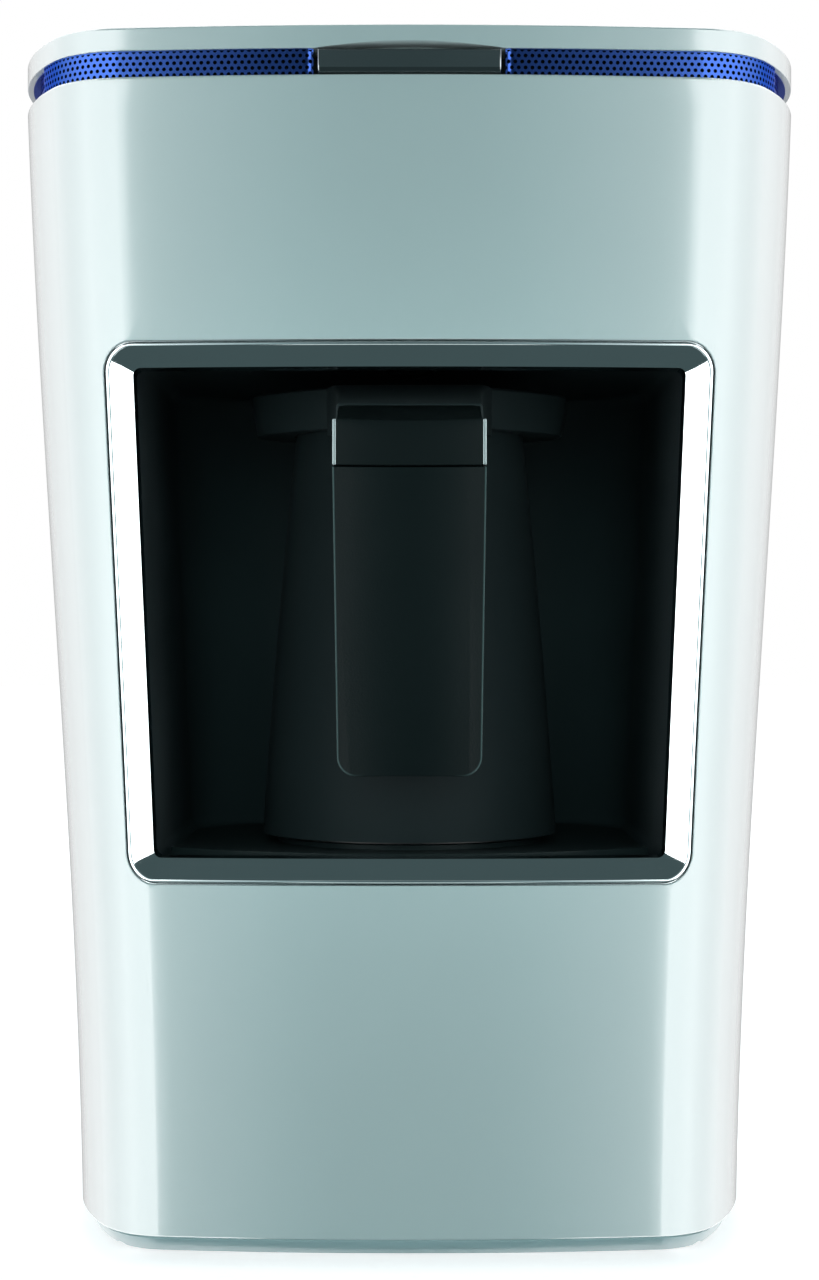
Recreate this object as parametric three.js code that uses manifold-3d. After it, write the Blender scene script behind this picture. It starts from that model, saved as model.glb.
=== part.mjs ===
// Electric Turkish coffee maker with a pull-out pot, in millimetres, +Z up, front towards -Y.
import * as THREE from "three";
import { mergeVertices } from "three/addons/utils/BufferGeometryUtils.js";
import Module from "manifold-3d";

const wasm = await Module();
wasm.setup();

// Clearances
const gap = 0.3; // between pieces that meet
const run_gap = 0.45; // round what moves, and round the window frame
const overrun = 5; // how far a cut runs past what it cuts

// Casing: heights from the underside of the base pan
const foot_height = 2.8; // rubber feet below the pan
const casing_bottom = 2.7;
const casing_top = 240;
const band_space = 5.3; // between casing and lid
const lid_thickness = 4.7;
const wall = 2.4;
const lid_bottom = casing_top + band_space;

// Casing: plan outline where it is widest
const front_radius = 600;
const front_half_width = 60;
const corner_radius = 19;
const side_radius = 75;
const rear_side_radius = 455;
const rear_corner_radius = 34;
const corner_turn = Math.PI / 3;
const rear_turn = Math.PI / 14;
const foot_width_share = 0.856; // width at the foot as a share of the width at the top
const taper_shares = [0.35, 1.6, -0.95]; // first, second and third power of the height share

// Window and its frame
const window_bottom = 75.2;
const window_height = 110.4;
const window_half_width = 64.6;
const window_corner = 6;
const chamfer_side = 5.6;
const chamfer_top = 4.8;
const chamfer_depth = 3.2;
const window_top = window_bottom + window_height;
const mouth_half_width = window_half_width - chamfer_side;
const mouth_bottom = window_bottom + chamfer_top;
const mouth_top = window_top - chamfer_top;

// Cavity
const cavity_depth = 128;
const cavity_rear_radius = 25;
const cavity_wall = 1.8;
const cavity_side_step = 1.5; // how far the liner stands back from the frame's mouth
const floor_drop = 2.05;
const ceiling_rise = 5.35;

// Pot
const pot_axis_depth = 62;
const pot_bottom_radius = 33.5;
const pot_top_radius = 25.9;
const pot_bulge = 0.4;
const pot_wall = 0.9;
const collar_height = 9.1;
const pot_headroom = 0.55; // between the collar and the frame's mouth when the pot comes out
const dock_lip_rise = 0.35; // dock lip above the frame's mouth

// Handle
const handle_proud = 1; // handle face in front of the casing
const handle_half_width = 15.7;
const handle_thickness = 13.5;
const handle_drop = 10.5; // handle top below the collar top
const cap_height = 9.4;
const grip_height = 63;

// Start button
const button_half_width = 18.7;
const button_proud = 0.4;
const button_depth = 7.4;
const button_travel = 1;

// Facets
const arc_steps = [3, 5, 4, 3, 4]; // front, corner, side, rear side, rear corner
const edge_steps = 6; // along each straight edge of an upright loop
const corner_steps = 3;
const round_steps = 36;
const small_steps = 12;
const tiny_steps = 8;
const scoop_steps = 200;

// Width at a height, as a share of the width at the top
function widthShare(z) {
  const t = Math.min(Math.max((z - casing_bottom) / (casing_top - casing_bottom), 0), 1);
  const rise = taper_shares[0] * t + taper_shares[1] * t * t + taper_shares[2] * t * t * t;
  return foot_width_share + (1 - foot_width_share) * rise;
}

// The five arcs of the plan's right half, each meeting the next without a kink
function planArcs() {
  const front_turn = Math.asin(front_half_width / front_radius);
  const side_turn = Math.PI / 2;
  const radii = [front_radius, corner_radius, side_radius, rear_side_radius, rear_corner_radius];
  const turns = [0, front_turn, corner_turn, side_turn, side_turn + rear_turn, Math.PI];
  let x = 0;
  let y = front_radius;
  return radii.map((radius, i) => {
    if (i > 0) {
      x += (radii[i - 1] - radius) * Math.sin(turns[i]);
      y -= (radii[i - 1] - radius) * Math.cos(turns[i]);
    }
    return { x, y, radius, from: turns[i], to: turns[i + 1] };
  });
}
const arcs = planArcs();
const [front_arc, corner_arc, side_arc, , rear_arc] = arcs;
const depth = rear_arc.y + rear_arc.radius;

// A point of an arc of the plan, moved in by an inset
function arcPoint(arc, turn, inset) {
  const r = arc.radius - inset;
  return [arc.x + r * Math.sin(turn), arc.y - r * Math.cos(turn)];
}

// The whole plan outline at a height, moved in by an inset
function planLoop(inset, z) {
  const half = [];
  arcs.forEach((arc, i) => {
    for (let k = 0; k < arc_steps[i]; k++) {
      half.push(arcPoint(arc, arc.from + ((arc.to - arc.from) * k) / arc_steps[i], inset));
    }
  });
  half.push(arcPoint(rear_arc, Math.PI, inset));
  const other = half.slice(1).reverse().map(([x, y]) => [-x, y]);
  const k = widthShare(z);
  return [...half, ...other].map(([x, y]) => new THREE.Vector3(x * k, y, z));
}

// How far the front surface lies behind its middle, at a distance from the middle
function frontDepth(x) {
  const arc = Math.abs(x) <= front_half_width ? front_arc : corner_arc;
  const side = Math.abs(x) - arc.x;
  return arc.y - Math.sqrt(arc.radius * arc.radius - side * side);
}

// An upright rounded rectangle, narrowed with the casing; bend 1 lets it follow the front surface
function uprightLoop(half, bottom, top, radius, y, bend) {
  const points = [];
  const corners = [
    [half - radius, bottom + radius, -Math.PI / 2],
    [half - radius, top - radius, 0],
    [-half + radius, top - radius, Math.PI / 2],
    [-half + radius, bottom + radius, Math.PI],
  ];
  corners.forEach(([cx, cz, start], i) => {
    for (let k = 0; k <= corner_steps; k++) {
      const a = start + (Math.PI / 2) * (k / corner_steps);
      points.push([cx + radius * Math.cos(a), cz + radius * Math.sin(a)]);
    }
    const [nx, nz, next] = corners[(i + 1) % corners.length];
    const from = points[points.length - 1];
    const to = [nx + radius * Math.cos(next), nz + radius * Math.sin(next)];
    for (let k = 1; k < edge_steps; k++) {
      const t = k / edge_steps;
      points.push([from[0] + (to[0] - from[0]) * t, from[1] + (to[1] - from[1]) * t]);
    }
  });
  return points.map(([x, z]) => {
    return new THREE.Vector3(x * widthShare(z), y + bend * frontDepth(x), z);
  });
}

// A closed geometry as a solid that can be cut and joined, its faces turned outward
function solid(geometry) {
  const bare = geometry.clone();
  bare.deleteAttribute("normal");
  bare.deleteAttribute("uv");
  const merged = mergeVertices(bare);
  const index = merged.index.array;
  const faces = [];
  for (let i = 0; i < index.length; i += 3) {
    const [a, b, c] = [index[i], index[i + 1], index[i + 2]];
    if (a !== b && b !== c && c !== a) faces.push([a, b, c]);
  }
  const make = (list) => {
    const mesh = new wasm.Mesh({
      numProp: 3,
      vertProperties: new Float32Array(merged.attributes.position.array),
      triVerts: new Uint32Array(list.flat()),
    });
    return new wasm.Manifold(mesh);
  };
  const made = make(faces);
  return made.volume() < 0 ? make(faces.map(([a, b, c]) => [a, c, b])) : made;
}

// Loops of equal length joined one to the next: into a ring, or with both ends closed
function loft(loops, ring = false) {
  const n = loops[0].length;
  const position = loops.flat().flatMap((p) => [p.x, p.y, p.z]);
  const index = [];
  const last = ring ? loops.length : loops.length - 1;
  for (let i = 0; i < last; i++) {
    const a = i * n;
    const b = ((i + 1) % loops.length) * n;
    for (let k = 0; k < n; k++) {
      const m = (k + 1) % n;
      index.push(a + k, a + m, b + m, a + k, b + m, b + k);
    }
  }
  if (!ring) {
    const end = (loops.length - 1) * n;
    for (let k = 1; k < n - 1; k++) {
      index.push(0, k + 1, k);
      index.push(end, end + k, end + k + 1);
    }
  }
  const geometry = new THREE.BufferGeometry();
  geometry.setAttribute("position", new THREE.Float32BufferAttribute(position, 3));
  geometry.setIndex(index);
  return solid(geometry);
}

// A box between two corners
function block(x0, x1, y0, y1, z0, z1) {
  const box = new THREE.BoxGeometry(x1 - x0, y1 - y0, z1 - z0);
  return solid(box.translate((x0 + x1) / 2, (y0 + y1) / 2, (z0 + z1) / 2));
}

// An upright rod
function rod(x, y, z0, z1, radius, steps = small_steps) {
  const body = new THREE.CylinderGeometry(radius, radius, z1 - z0, steps);
  return solid(body.rotateX(Math.PI / 2).translate(x, y, (z0 + z1) / 2));
}

// A rod that lies front to back
function rodBack(x, z, y0, y1, radius, steps = small_steps) {
  const body = new THREE.CylinderGeometry(radius, radius, y1 - y0, steps);
  return solid(body.translate(x, (y0 + y1) / 2, z));
}

// A profile of radius and height turned round an upright axis
function turned(profile, x, y, steps = round_steps) {
  const points = profile.map(([r, z]) => new THREE.Vector2(r, z));
  return solid(new THREE.LatheGeometry(points, steps).rotateX(Math.PI / 2).translate(x, y, 0));
}

// A flat outline in x and y, raised from one height to another
function raised(points, z0, z1) {
  const shape = new THREE.Shape(points.map(([x, y]) => new THREE.Vector2(x, y)));
  const body = new THREE.ExtrudeGeometry(shape, { depth: z1 - z0, bevelEnabled: false });
  return solid(body.translate(0, 0, z0));
}

// A side outline in y and z, as wide as two half widths
function sideways(points, half) {
  const shape = new THREE.Shape(points.map(([y, z]) => new THREE.Vector2(y, z)));
  const body = new THREE.ExtrudeGeometry(shape, { depth: 2 * half, bevelEnabled: false });
  body.translate(0, 0, -half).rotateY(Math.PI / 2).rotateX(Math.PI / 2);
  return solid(body);
}

const cut = (body, ...tools) => tools.reduce((a, b) => a.subtract(b), body);
const join = (body, ...others) => others.reduce((a, b) => a.add(b), body);

function paint(color, roughness, metalness = 0) {
  return { color, roughness, metalness };
}
const white = paint(0xf2f4f4, 0.25);
const pale_grey = paint(0xa9b8ba, 0.5);
const band_blue = paint(0x2c5cae, 0.35, 0.6);
const dark_chrome = paint(0x30393b, 0.15, 0.9);
const black = paint(0x121616, 0.45);
const black_gloss = paint(0x14191a, 0.2);
const rubber = paint(0x2a2c2d, 0.9);
const steel = paint(0xa8acae, 0.3, 1);
const dark_steel = paint(0x1c2222, 0.35, 0.8);
const bright_trim = paint(0xb4c6c8, 0.15, 1);
const brass = paint(0xb8934a, 0.3, 1);
const board_green = paint(0x2f6b45, 0.6);
const component = paint(0x24292c, 0.55);
const yellow_tape = paint(0xc9a83a, 0.5);
const red_silicone = paint(0x8c3a33, 0.7);
const clear = paint(0xdfe8ea, 0.1);

const root = new THREE.Group();
const machine = new THREE.Group();
const pot = new THREE.Group();
const button = new THREE.Group();
root.add(machine, pot, button);

function piece(parent, name, body, look) {
  const made = body.getMesh();
  const geometry = new THREE.BufferGeometry();
  geometry.setAttribute("position", new THREE.BufferAttribute(made.vertProperties, 3));
  geometry.setIndex(new THREE.BufferAttribute(made.triVerts, 1));
  const flat = geometry.toNonIndexed();
  flat.computeVertexNormals();
  const mesh = new THREE.Mesh(flat, new THREE.MeshStandardMaterial(look));
  mesh.name = name;
  parent.add(mesh);
}
const sides = [["left", -1], ["right", 1]];

// Screws: one size holds the whole machine together
const screw_radius = 1.4;
const screw_head_radius = 3;
const screw_head_height = 1.3;
const screw_length = 11;
const boss_radius = 4.2;
const screw_hole = screw_radius + gap;
const head_hole = screw_head_radius + gap;

// Where the base screws and the feet sit in plan
const screw_inset = 6.2;
const foot_inset_front = 18;
const foot_inset_rear = 24;
const front_diagonal = Math.PI / 4;
const rear_diagonal = (3 * Math.PI) / 4;
function cornerPlaces(front_inset, rear_inset) {
  const k = widthShare(casing_bottom);
  const [fx, fy] = arcPoint(corner_arc, front_diagonal, front_inset);
  const [rx, ry] = arcPoint(rear_arc, rear_diagonal, rear_inset);
  return sides.flatMap(([side, s]) => [
    ["front_" + side, s * fx * k, fy],
    ["rear_" + side, s * rx * k, ry],
  ]);
}
const screw_places = cornerPlaces(screw_inset, screw_inset);
const foot_places = cornerPlaces(foot_inset_front, foot_inset_rear);

// Base pan: chamfered plate, rim inside the casing, standoffs for the main board
const pan_top = casing_bottom - gap;
const pan_inset_bottom = 3.4;
const pan_inset_top = 1.2;
const pan_rim_height = 6;
const pan_rim_wall = 1.6;
const standoff_radius = 3;
const standoff_height = 11.5;
const peg_radius = 1.2;
const peg_height = 3;
const foot_stem_radius = 2.8;
const pan_slot_count = 6;
const pan_slot_width = 2.4;
const pan_slot_pitch = 7;
const pan_slot_half_length = 24;

// Main board
const board_thickness = 1.6;
const board_half_width = 44;
const board_length = 84;
const board_front = 58;
const standoff_inset = 5;
const board_bottom = pan_top + standoff_height + gap;
const board_top = board_bottom + board_thickness;
const board_rear = board_front + board_length;
const standoffs = sides.flatMap(([, s]) => [
  [s * (board_half_width - standoff_inset), board_front + standoff_inset],
  [s * (board_half_width - standoff_inset), board_rear - standoff_inset],
]);

function basePan() {
  const rim_outer = wall + gap;
  const rim_inner = rim_outer + pan_rim_wall;
  const rim_top = pan_top + pan_rim_height;
  let pan = loft([planLoop(pan_inset_bottom, 0), planLoop(pan_inset_top, pan_top)]);
  const rim = [
    planLoop(rim_outer, pan_top - gap),
    planLoop(rim_outer, rim_top),
    planLoop(rim_inner, rim_top),
    planLoop(rim_inner, pan_top - gap),
  ];
  pan = pan.add(loft(rim, true));
  for (const [x, y] of standoffs) {
    const top = pan_top + standoff_height;
    pan = join(
      pan,
      rod(x, y, pan_top - gap, top, standoff_radius, tiny_steps),
      rod(x, y, top - gap, top + peg_height, peg_radius, tiny_steps),
    );
  }
  for (const [, x, y] of screw_places) {
    pan = cut(
      pan,
      rod(x, y, -overrun, pan_top + overrun, screw_hole),
      rod(x, y, -overrun, screw_head_height, head_hole),
      rod(x, y, pan_top, rim_top + overrun, boss_radius + gap),
    );
  }
  for (const [, x, y] of foot_places) {
    pan = pan.subtract(rod(x, y, -overrun, pan_top + overrun, foot_stem_radius + gap));
  }
  for (let i = 0; i < pan_slot_count; i++) {
    const y = board_front + (i + 1) * pan_slot_pitch + standoff_radius + standoff_inset;
    const w = pan_slot_half_length;
    pan = pan.subtract(block(-w, w, y, y + pan_slot_width, -overrun, pan_top + overrun));
  }
  return pan;
}
piece(machine, "base_pan", basePan(), pale_grey);

// Rubber feet: a domed pad with a stem pressed up into the pan
const foot_radius = 6;
const foot_edge = 0.8;
for (const [place, x, y] of foot_places) {
  const foot = turned(
    [
      [0, -foot_height],
      [foot_radius - foot_edge, -foot_height],
      [foot_radius, -foot_height + foot_edge],
      [foot_radius, -gap],
      [foot_stem_radius, -gap],
      [foot_stem_radius, pan_top],
      [0, pan_top],
    ],
    x,
    y,
    small_steps,
  );
  piece(machine, "foot_" + place, foot, rubber);
}

// Outer casing: tapered shell, rounded top edge, deck below the band, screw bosses
const rim_round = 0.5;
const rim_round_height = 0.5;
const deck_thickness = 3.5;
const deck_width = 15;
const deck_bottom = casing_top - deck_thickness;
const casing_boss_height = 13;
const casing_levels = 6;
const shelf_half_width = 27;
const shelf_depth = 40; // shelf for the button board, from the front
const lid_boss_inset = 10.2;
const [lid_screw_x, lid_screw_y] = arcPoint(side_arc, Math.PI / 2, lid_boss_inset);

// Rear opening of the casing, wide enough for the cover's screws
const post_half_spacing = 26;
const cover_side_margin = 7;
const cover_half_width = post_half_spacing + cover_side_margin;
const cover_bottom = 14;
const cover_top = 226;
const cover_corner = 6;

function outerCasing() {
  const straight_top = casing_top - rim_round_height;
  const heights = [];
  for (let i = 0; i <= casing_levels; i++) {
    heights.push(casing_bottom + ((straight_top - casing_bottom) * i) / casing_levels);
  }
  const section = heights.map((z) => planLoop(0, z));
  for (let i = 1; i <= 4; i++) {
    const a = (Math.PI / 8) * i;
    const inset = rim_round * (1 - Math.cos(a));
    section.push(planLoop(inset, straight_top + rim_round_height * Math.sin(a)));
  }
  section.push(planLoop(deck_width, casing_top));
  section.push(planLoop(deck_width, deck_bottom));
  section.push(planLoop(wall, deck_bottom));
  const inner = heights.slice(0, -1).reverse();
  section.push(...inner.map((z) => planLoop(wall, z)));
  const half = window_half_width + run_gap;
  const window_hole = (y) => {
    const corner = window_corner + run_gap;
    return uprightLoop(half, window_bottom - run_gap, window_top + run_gap, corner, y, 0);
  };
  const rear_hole = (y) => {
    return uprightLoop(cover_half_width, cover_bottom, cover_top, cover_corner, y, 0);
  };
  let casing = cut(
    loft(section, true),
    loft([window_hole(-overrun), window_hole(corner_radius)]),
    loft([rear_hole(depth - wall - overrun), rear_hole(depth + overrun)]),
  );
  casing = casing.add(
    block(-shelf_half_width, shelf_half_width, wall + gap, shelf_depth, deck_bottom, casing_top),
  );
  for (const [, x, y] of screw_places) {
    const top = casing_bottom + casing_boss_height;
    const boss = rod(x, y, casing_bottom, top, boss_radius);
    casing = casing.add(boss).subtract(rod(x, y, -overrun, top - gap, screw_hole, tiny_steps));
  }
  for (const [, s] of sides) {
    const x = s * lid_screw_x;
    const high = casing_top + overrun;
    casing = casing.subtract(rod(x, lid_screw_y, deck_bottom - overrun, high, screw_hole));
  }
  return casing;
}
piece(machine, "outer_casing", outerCasing(), white);

for (const [place, x, y] of screw_places) {
  const seat = screw_head_height - gap;
  const screw = join(
    rod(x, y, gap, seat, screw_head_radius, tiny_steps),
    rod(x, y, seat - gap, seat + screw_length, screw_radius, tiny_steps),
  );
  piece(machine, "base_screw_" + place, screw, steel);
}

// Top lid: flat slab with rounded edges, locating skirt and two screw bosses
const lid_round = 1.2;
const skirt_inset = 6;
const skirt_wall = 1.8;
const skirt_height = 3.6;
const lid_boss_radius = 3.6;
const scoop_half_width = 19.5;
const scoop_rise = 0.85;

function topLid() {
  const section = [];
  const lid_top = lid_bottom + lid_thickness;
  for (let i = 0; i <= 3; i++) {
    const a = (Math.PI / 6) * i;
    const rise = lid_round * (1 - Math.cos(a));
    section.push(planLoop(lid_round * (1 - Math.sin(a)), lid_bottom + rise));
  }
  for (let i = 3; i >= 0; i--) {
    const a = (Math.PI / 6) * i;
    const sink = lid_round * (1 - Math.cos(a));
    section.push(planLoop(lid_round * (1 - Math.sin(a)), lid_top - sink));
  }
  const skirt_bottom = lid_bottom - skirt_height;
  const skirt = [
    planLoop(skirt_inset, lid_bottom + gap),
    planLoop(skirt_inset, skirt_bottom),
    planLoop(skirt_inset + skirt_wall, skirt_bottom),
    planLoop(skirt_inset + skirt_wall, lid_bottom + gap),
  ];
  const notch = shelf_half_width;
  let lid = loft(section);
  let below = loft(skirt, true);
  const notch_low = skirt_bottom - overrun;
  below = below.subtract(block(-notch, notch, -overrun, shelf_depth, notch_low, lid_bottom));
  lid = lid.add(below);
  for (const [, s] of sides) {
    const x = s * lid_screw_x;
    lid = lid.add(rod(x, lid_screw_y, casing_top + gap, lid_bottom + gap, lid_boss_radius));
    const hole_top = lid_bottom + lid_round;
    lid = lid.subtract(rod(x, lid_screw_y, casing_top, hole_top, screw_hole, tiny_steps));
  }
  const scoop_radius = (scoop_half_width ** 2 + scoop_rise ** 2) / (2 * scoop_rise);
  const scoop_z = lid_bottom + scoop_rise - scoop_radius;
  return lid.subtract(rodBack(0, scoop_z, -overrun, skirt_inset, scoop_radius, scoop_steps));
}
piece(machine, "top_lid", topLid(), white);

const lid_screw_length = casing_top - deck_bottom + band_space - gap;
for (const [side, s] of sides) {
  const top = deck_bottom - gap;
  const x = s * lid_screw_x;
  const screw = join(
    rod(x, lid_screw_y, top - screw_head_height, top, screw_head_radius, tiny_steps),
    rod(x, lid_screw_y, top - gap, top + lid_screw_length, screw_radius, tiny_steps),
  );
  piece(machine, "lid_screw_" + side, screw, steel);
}

// Perforated band between casing and lid: nearly flush in front and round the front corners,
// set back at the sides and behind, open at the front for the button
const band_inset = 0.5;
const band_side_inset = 2.8;
const band_wall = 1.4;
const band_front_depth = 19; // where the front's part ends and the sides step back
function ventBand() {
  const [low, high] = [casing_top + gap, lid_bottom - gap];
  const back = band_side_inset + band_wall;
  const ring = (inset) => {
    const outer = [planLoop(inset, low), planLoop(inset, high)];
    return loft([...outer, planLoop(back, high), planLoop(back, low)], true);
  };
  const half = button_half_width + run_gap;
  const [below, above] = [low - overrun, high + overrun];
  const front = ring(band_inset).subtract(
    block(-depth, depth, band_front_depth, depth + overrun, below, above),
  );
  return ring(band_side_inset)
    .add(front)
    .subtract(block(-half, half, -overrun, back + overrun, below, above));
}
piece(machine, "vent_band", ventBand(), band_blue);

// Window frame: wide chamfer down to the mouth, flange behind the casing wall
const frame_land = 0.5;
const frame_lip = 6.3;
const frame_flange = 3;
const flange_clearance = 1; // between flange and casing wall, where the front bends round
const frame_flange_depth = wall + flange_clearance;
const mouth_corner = 1.7;
const frame_depth = chamfer_depth + frame_lip;
function frameLoop(share_side, share_top, corner, y) {
  const half = window_half_width - share_side;
  return uprightLoop(half, window_bottom + share_top, window_top - share_top, corner, y, 1);
}
function windowFrame() {
  const f = -frame_flange;
  const outer = window_corner + frame_flange;
  return loft(
    [
      frameLoop(0, 0, window_corner, 0),
      frameLoop(frame_land, frame_land, window_corner - frame_land, 0),
      frameLoop(chamfer_side, chamfer_top, mouth_corner, chamfer_depth),
      frameLoop(chamfer_side, chamfer_top, mouth_corner, frame_depth),
      frameLoop(f, f, outer, frame_depth),
      frameLoop(f, f, outer, frame_flange_depth),
      frameLoop(0, 0, window_corner, frame_flange_depth),
    ],
    true,
  );
}
piece(machine, "window_frame", windowFrame(), dark_chrome);

// Cavity liner: one black shell with a rounded back, posts behind it for the cover screws
const liner_corner = 3;
const liner_set_back = 0.8; // behind the frame
const liner_half_width = mouth_half_width + cavity_side_step;
const floor_top = mouth_bottom - floor_drop;
const ceiling = mouth_top + ceiling_rise;
const cover_thickness = 4.5;
const cover_flange = 4;
const cover_flange_thickness = 1.8;
const cover_front = depth - cover_thickness;
const post_low = window_bottom + 3 * boss_radius;
const post_high = window_top - 2 * boss_radius;
const posts = sides.flatMap(([side, s]) => [
  ["low_" + side, s * post_half_spacing * widthShare(post_low), post_low],
  ["high_" + side, s * post_half_spacing * widthShare(post_high), post_high],
]);
const lens_radius = 6;
const wire_hole_radius = 5;
const dock_axis_height = 6.3; // contact pins above the pot's underside
const pot_bottom = mouth_bottom + dock_lip_rise + gap;
const pin_z = pot_bottom + dock_axis_height;

function cavityLiner() {
  const loopAt = (grow, y, bend, turn) => {
    const r = cavity_rear_radius + grow;
    const half = liner_half_width + grow - r * (1 - Math.cos(turn));
    return uprightLoop(half, floor_top - grow, ceiling + grow, liner_corner + grow, y, bend);
  };
  const front = frame_depth + liner_set_back;
  const back_start = cavity_depth - cavity_rear_radius;
  const turns = [0, 1, 2, 3, 4].map((i) => (Math.PI / 8) * i);
  const backAt = (radius, t) => back_start + radius * Math.sin(t);
  const inner = turns.map((t) => loopAt(0, backAt(cavity_rear_radius, t), 0, t));
  const outer_radius = cavity_rear_radius + cavity_wall;
  const outer = turns.map((t) => loopAt(cavity_wall, backAt(outer_radius, t), 0, t));
  let liner = loft([
    ...inner.reverse(),
    loopAt(0, front, 1, 0),
    loopAt(cavity_wall, front, 1, 0),
    ...outer,
  ]);
  const back = cavity_depth + cavity_wall;
  for (const [, x, z] of posts) {
    liner = liner.add(rodBack(x, z, back - gap, cover_front - gap, boss_radius, tiny_steps));
    const hole_front = cover_front - gap - screw_length;
    liner = liner.subtract(rodBack(x, z, hole_front, cover_front + overrun, screw_hole, tiny_steps));
  }
  return cut(
    liner,
    rod(0, pot_axis_depth, ceiling - overrun, ceiling + cavity_wall + overrun, lens_radius + gap),
    rodBack(0, pin_z, cavity_depth - overrun, back + overrun, wire_hole_radius),
  );
}
piece(machine, "cavity_liner", cavityLiner(), black);

// Rear cover: plate in the casing's opening, flange inside, vent slots, hole for the gland
const cover_gap = run_gap;
const slot_count = 9;
const slot_pitch = 5.6;
const slot_width = 2.2;
const slot_half_length = 17;
const gland_radius = 5.2;
const gland_bore_radius = 3.6;
const gland_z = cover_bottom + 12;
const gland_reach = 5;
const slots_bottom = (post_low + post_high) / 2 - ((slot_count - 1) * slot_pitch) / 2;

function rearCover() {
  const plateLoop = (y) => {
    const half = cover_half_width - cover_gap;
    return uprightLoop(half, cover_bottom + cover_gap, cover_top - cover_gap, cover_corner, y, 0);
  };
  const flangeLoop = (y) => {
    const half = cover_half_width + cover_flange;
    const [low, high] = [cover_bottom - cover_flange, cover_top + cover_flange];
    return uprightLoop(half, low, high, cover_corner, y, 0);
  };
  const flange_rear = Math.min(cover_front + cover_flange_thickness, depth - wall - gap);
  let cover = loft([plateLoop(cover_front), plateLoop(depth)]);
  cover = cover.add(loft([flangeLoop(cover_front), flangeLoop(flange_rear)]));
  for (let i = 0; i < slot_count; i++) {
    const z = slots_bottom + i * slot_pitch;
    const w = slot_half_length;
    const [low, high] = [z - slot_width / 2, z + slot_width / 2];
    cover = cover.subtract(block(-w, w, cover_front - overrun, depth + overrun, low, high));
  }
  for (const [, x, z] of posts) {
    cover = cut(
      cover,
      rodBack(x, z, cover_front - overrun, depth + overrun, screw_hole, tiny_steps),
      rodBack(x, z, depth - screw_head_height - gap, depth + overrun, head_hole, tiny_steps),
    );
  }
  return cover.subtract(
    rodBack(0, gland_z, cover_front - overrun, depth + overrun, gland_radius + gap),
  );
}
piece(machine, "rear_cover", rearCover(), white);

for (const [place, x, z] of posts) {
  const head = depth - screw_head_height;
  const screw = join(
    rodBack(x, z, head, depth - gap, screw_head_radius, tiny_steps),
    rodBack(x, z, head - screw_length, head + gap, screw_radius, tiny_steps),
  );
  piece(machine, "cover_screw_" + place, screw, steel);
}

// Cord gland: flange outside, sleeve through the cover, nut inside, open bore
const gland_flange_radius = 8;
const gland_taper = 1.6;
const gland_nut = 3.2;
function cordGland() {
  const out = depth + gland_reach;
  const inside = cover_front - gap - gland_nut;
  const profile = [
    [gland_bore_radius, inside],
    [gland_flange_radius, inside],
    [gland_flange_radius, cover_front - gap],
    [gland_radius, cover_front - gap],
    [gland_radius, depth + gap],
    [gland_flange_radius, depth + gap],
    [gland_flange_radius, depth + gap + gland_taper],
    [gland_radius, out],
    [gland_bore_radius, out],
    [gland_bore_radius, inside],
  ];
  const points = profile.map(([r, y]) => new THREE.Vector2(r, y));
  return solid(new THREE.LatheGeometry(points, small_steps).translate(0, 0, gland_z));
}
piece(machine, "cord_gland", cordGland(), black);

// Dock: tray with a curved front lip and a round seat, connector housing, three pins
const tray_gap = 0.6;
const tray_thickness = 1;
const tray_lip_radius = 85;
const tray_lip_width = 2.4;
const tray_rear = 108;
const seat_radius = 30;
const lip_front = frame_depth + liner_set_back;
const seat_top = pot_bottom - gap;
const tray_half_width = (liner_half_width - liner_corner) * widthShare(floor_top);
function trayOutline(front) {
  const points = [];
  const centre = front + tray_lip_radius;
  for (let i = -12; i <= 12; i++) {
    const x = (tray_half_width * i) / 12;
    const r = tray_lip_radius - (front - lip_front);
    points.push([x, centre - Math.sqrt(r * r - x * x)]);
  }
  return points;
}
function dockTray() {
  const bottom = floor_top + gap;
  const top = bottom + tray_thickness;
  const outer = trayOutline(lip_front);
  const inner = trayOutline(lip_front + tray_lip_width).reverse();
  const back = [
    [tray_half_width, tray_rear - seat_radius / 2],
    [seat_radius, tray_rear],
    [-seat_radius, tray_rear],
    [-tray_half_width, tray_rear - seat_radius / 2],
  ];
  return join(
    raised([...outer, ...back], bottom, top),
    raised([...outer, ...inner], bottom, seat_top),
    rod(0, pot_axis_depth, bottom, seat_top, seat_radius, round_steps),
  );
}
piece(machine, "dock_tray", dockTray(), black_gloss);

// Connector housing behind the pot, with the pins reaching forward into the pot's socket
const pin_radius = 1.1;
const pin_spacing = 6;
const pin_reach = 8; // into the socket
const housing_half_width = 15;
const housing_height = 22;
const housing_gap = 2.2; // between housing and pot
const pot_rear = pot_axis_depth + pot_bottom_radius;
const housing_front = pot_rear + housing_gap;
const pins = [["left", -1], ["middle", 0], ["right", 1]];
function dockHousing() {
  const low = seat_top + gap;
  const rear = cavity_depth - gap;
  let housing = join(
    block(-housing_half_width, housing_half_width, housing_front, rear, low, low + housing_height),
    rod(0, housing_front, low, low + housing_height, housing_gap - gap, tiny_steps),
  );
  const pot_room = pot_bottom_radius + gap;
  const above = low + housing_height + overrun;
  housing = housing.subtract(
    rod(0, pot_axis_depth, low - overrun, above, pot_room, round_steps),
  );
  for (const [, s] of pins) {
    const x = s * pin_spacing;
    housing = housing.subtract(
      rodBack(x, pin_z, housing_front - overrun, rear + overrun, pin_radius + gap, tiny_steps),
    );
  }
  return housing;
}
piece(machine, "dock_housing", dockHousing(), black);
for (const [side, s] of pins) {
  const x = s * pin_spacing;
  const tip = pot_rear - pin_reach;
  piece(
    machine,
    "contact_pin_" + side,
    rodBack(x, pin_z, tip, cavity_depth - 2 * gap, pin_radius, tiny_steps),
    brass,
  );
}

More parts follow.
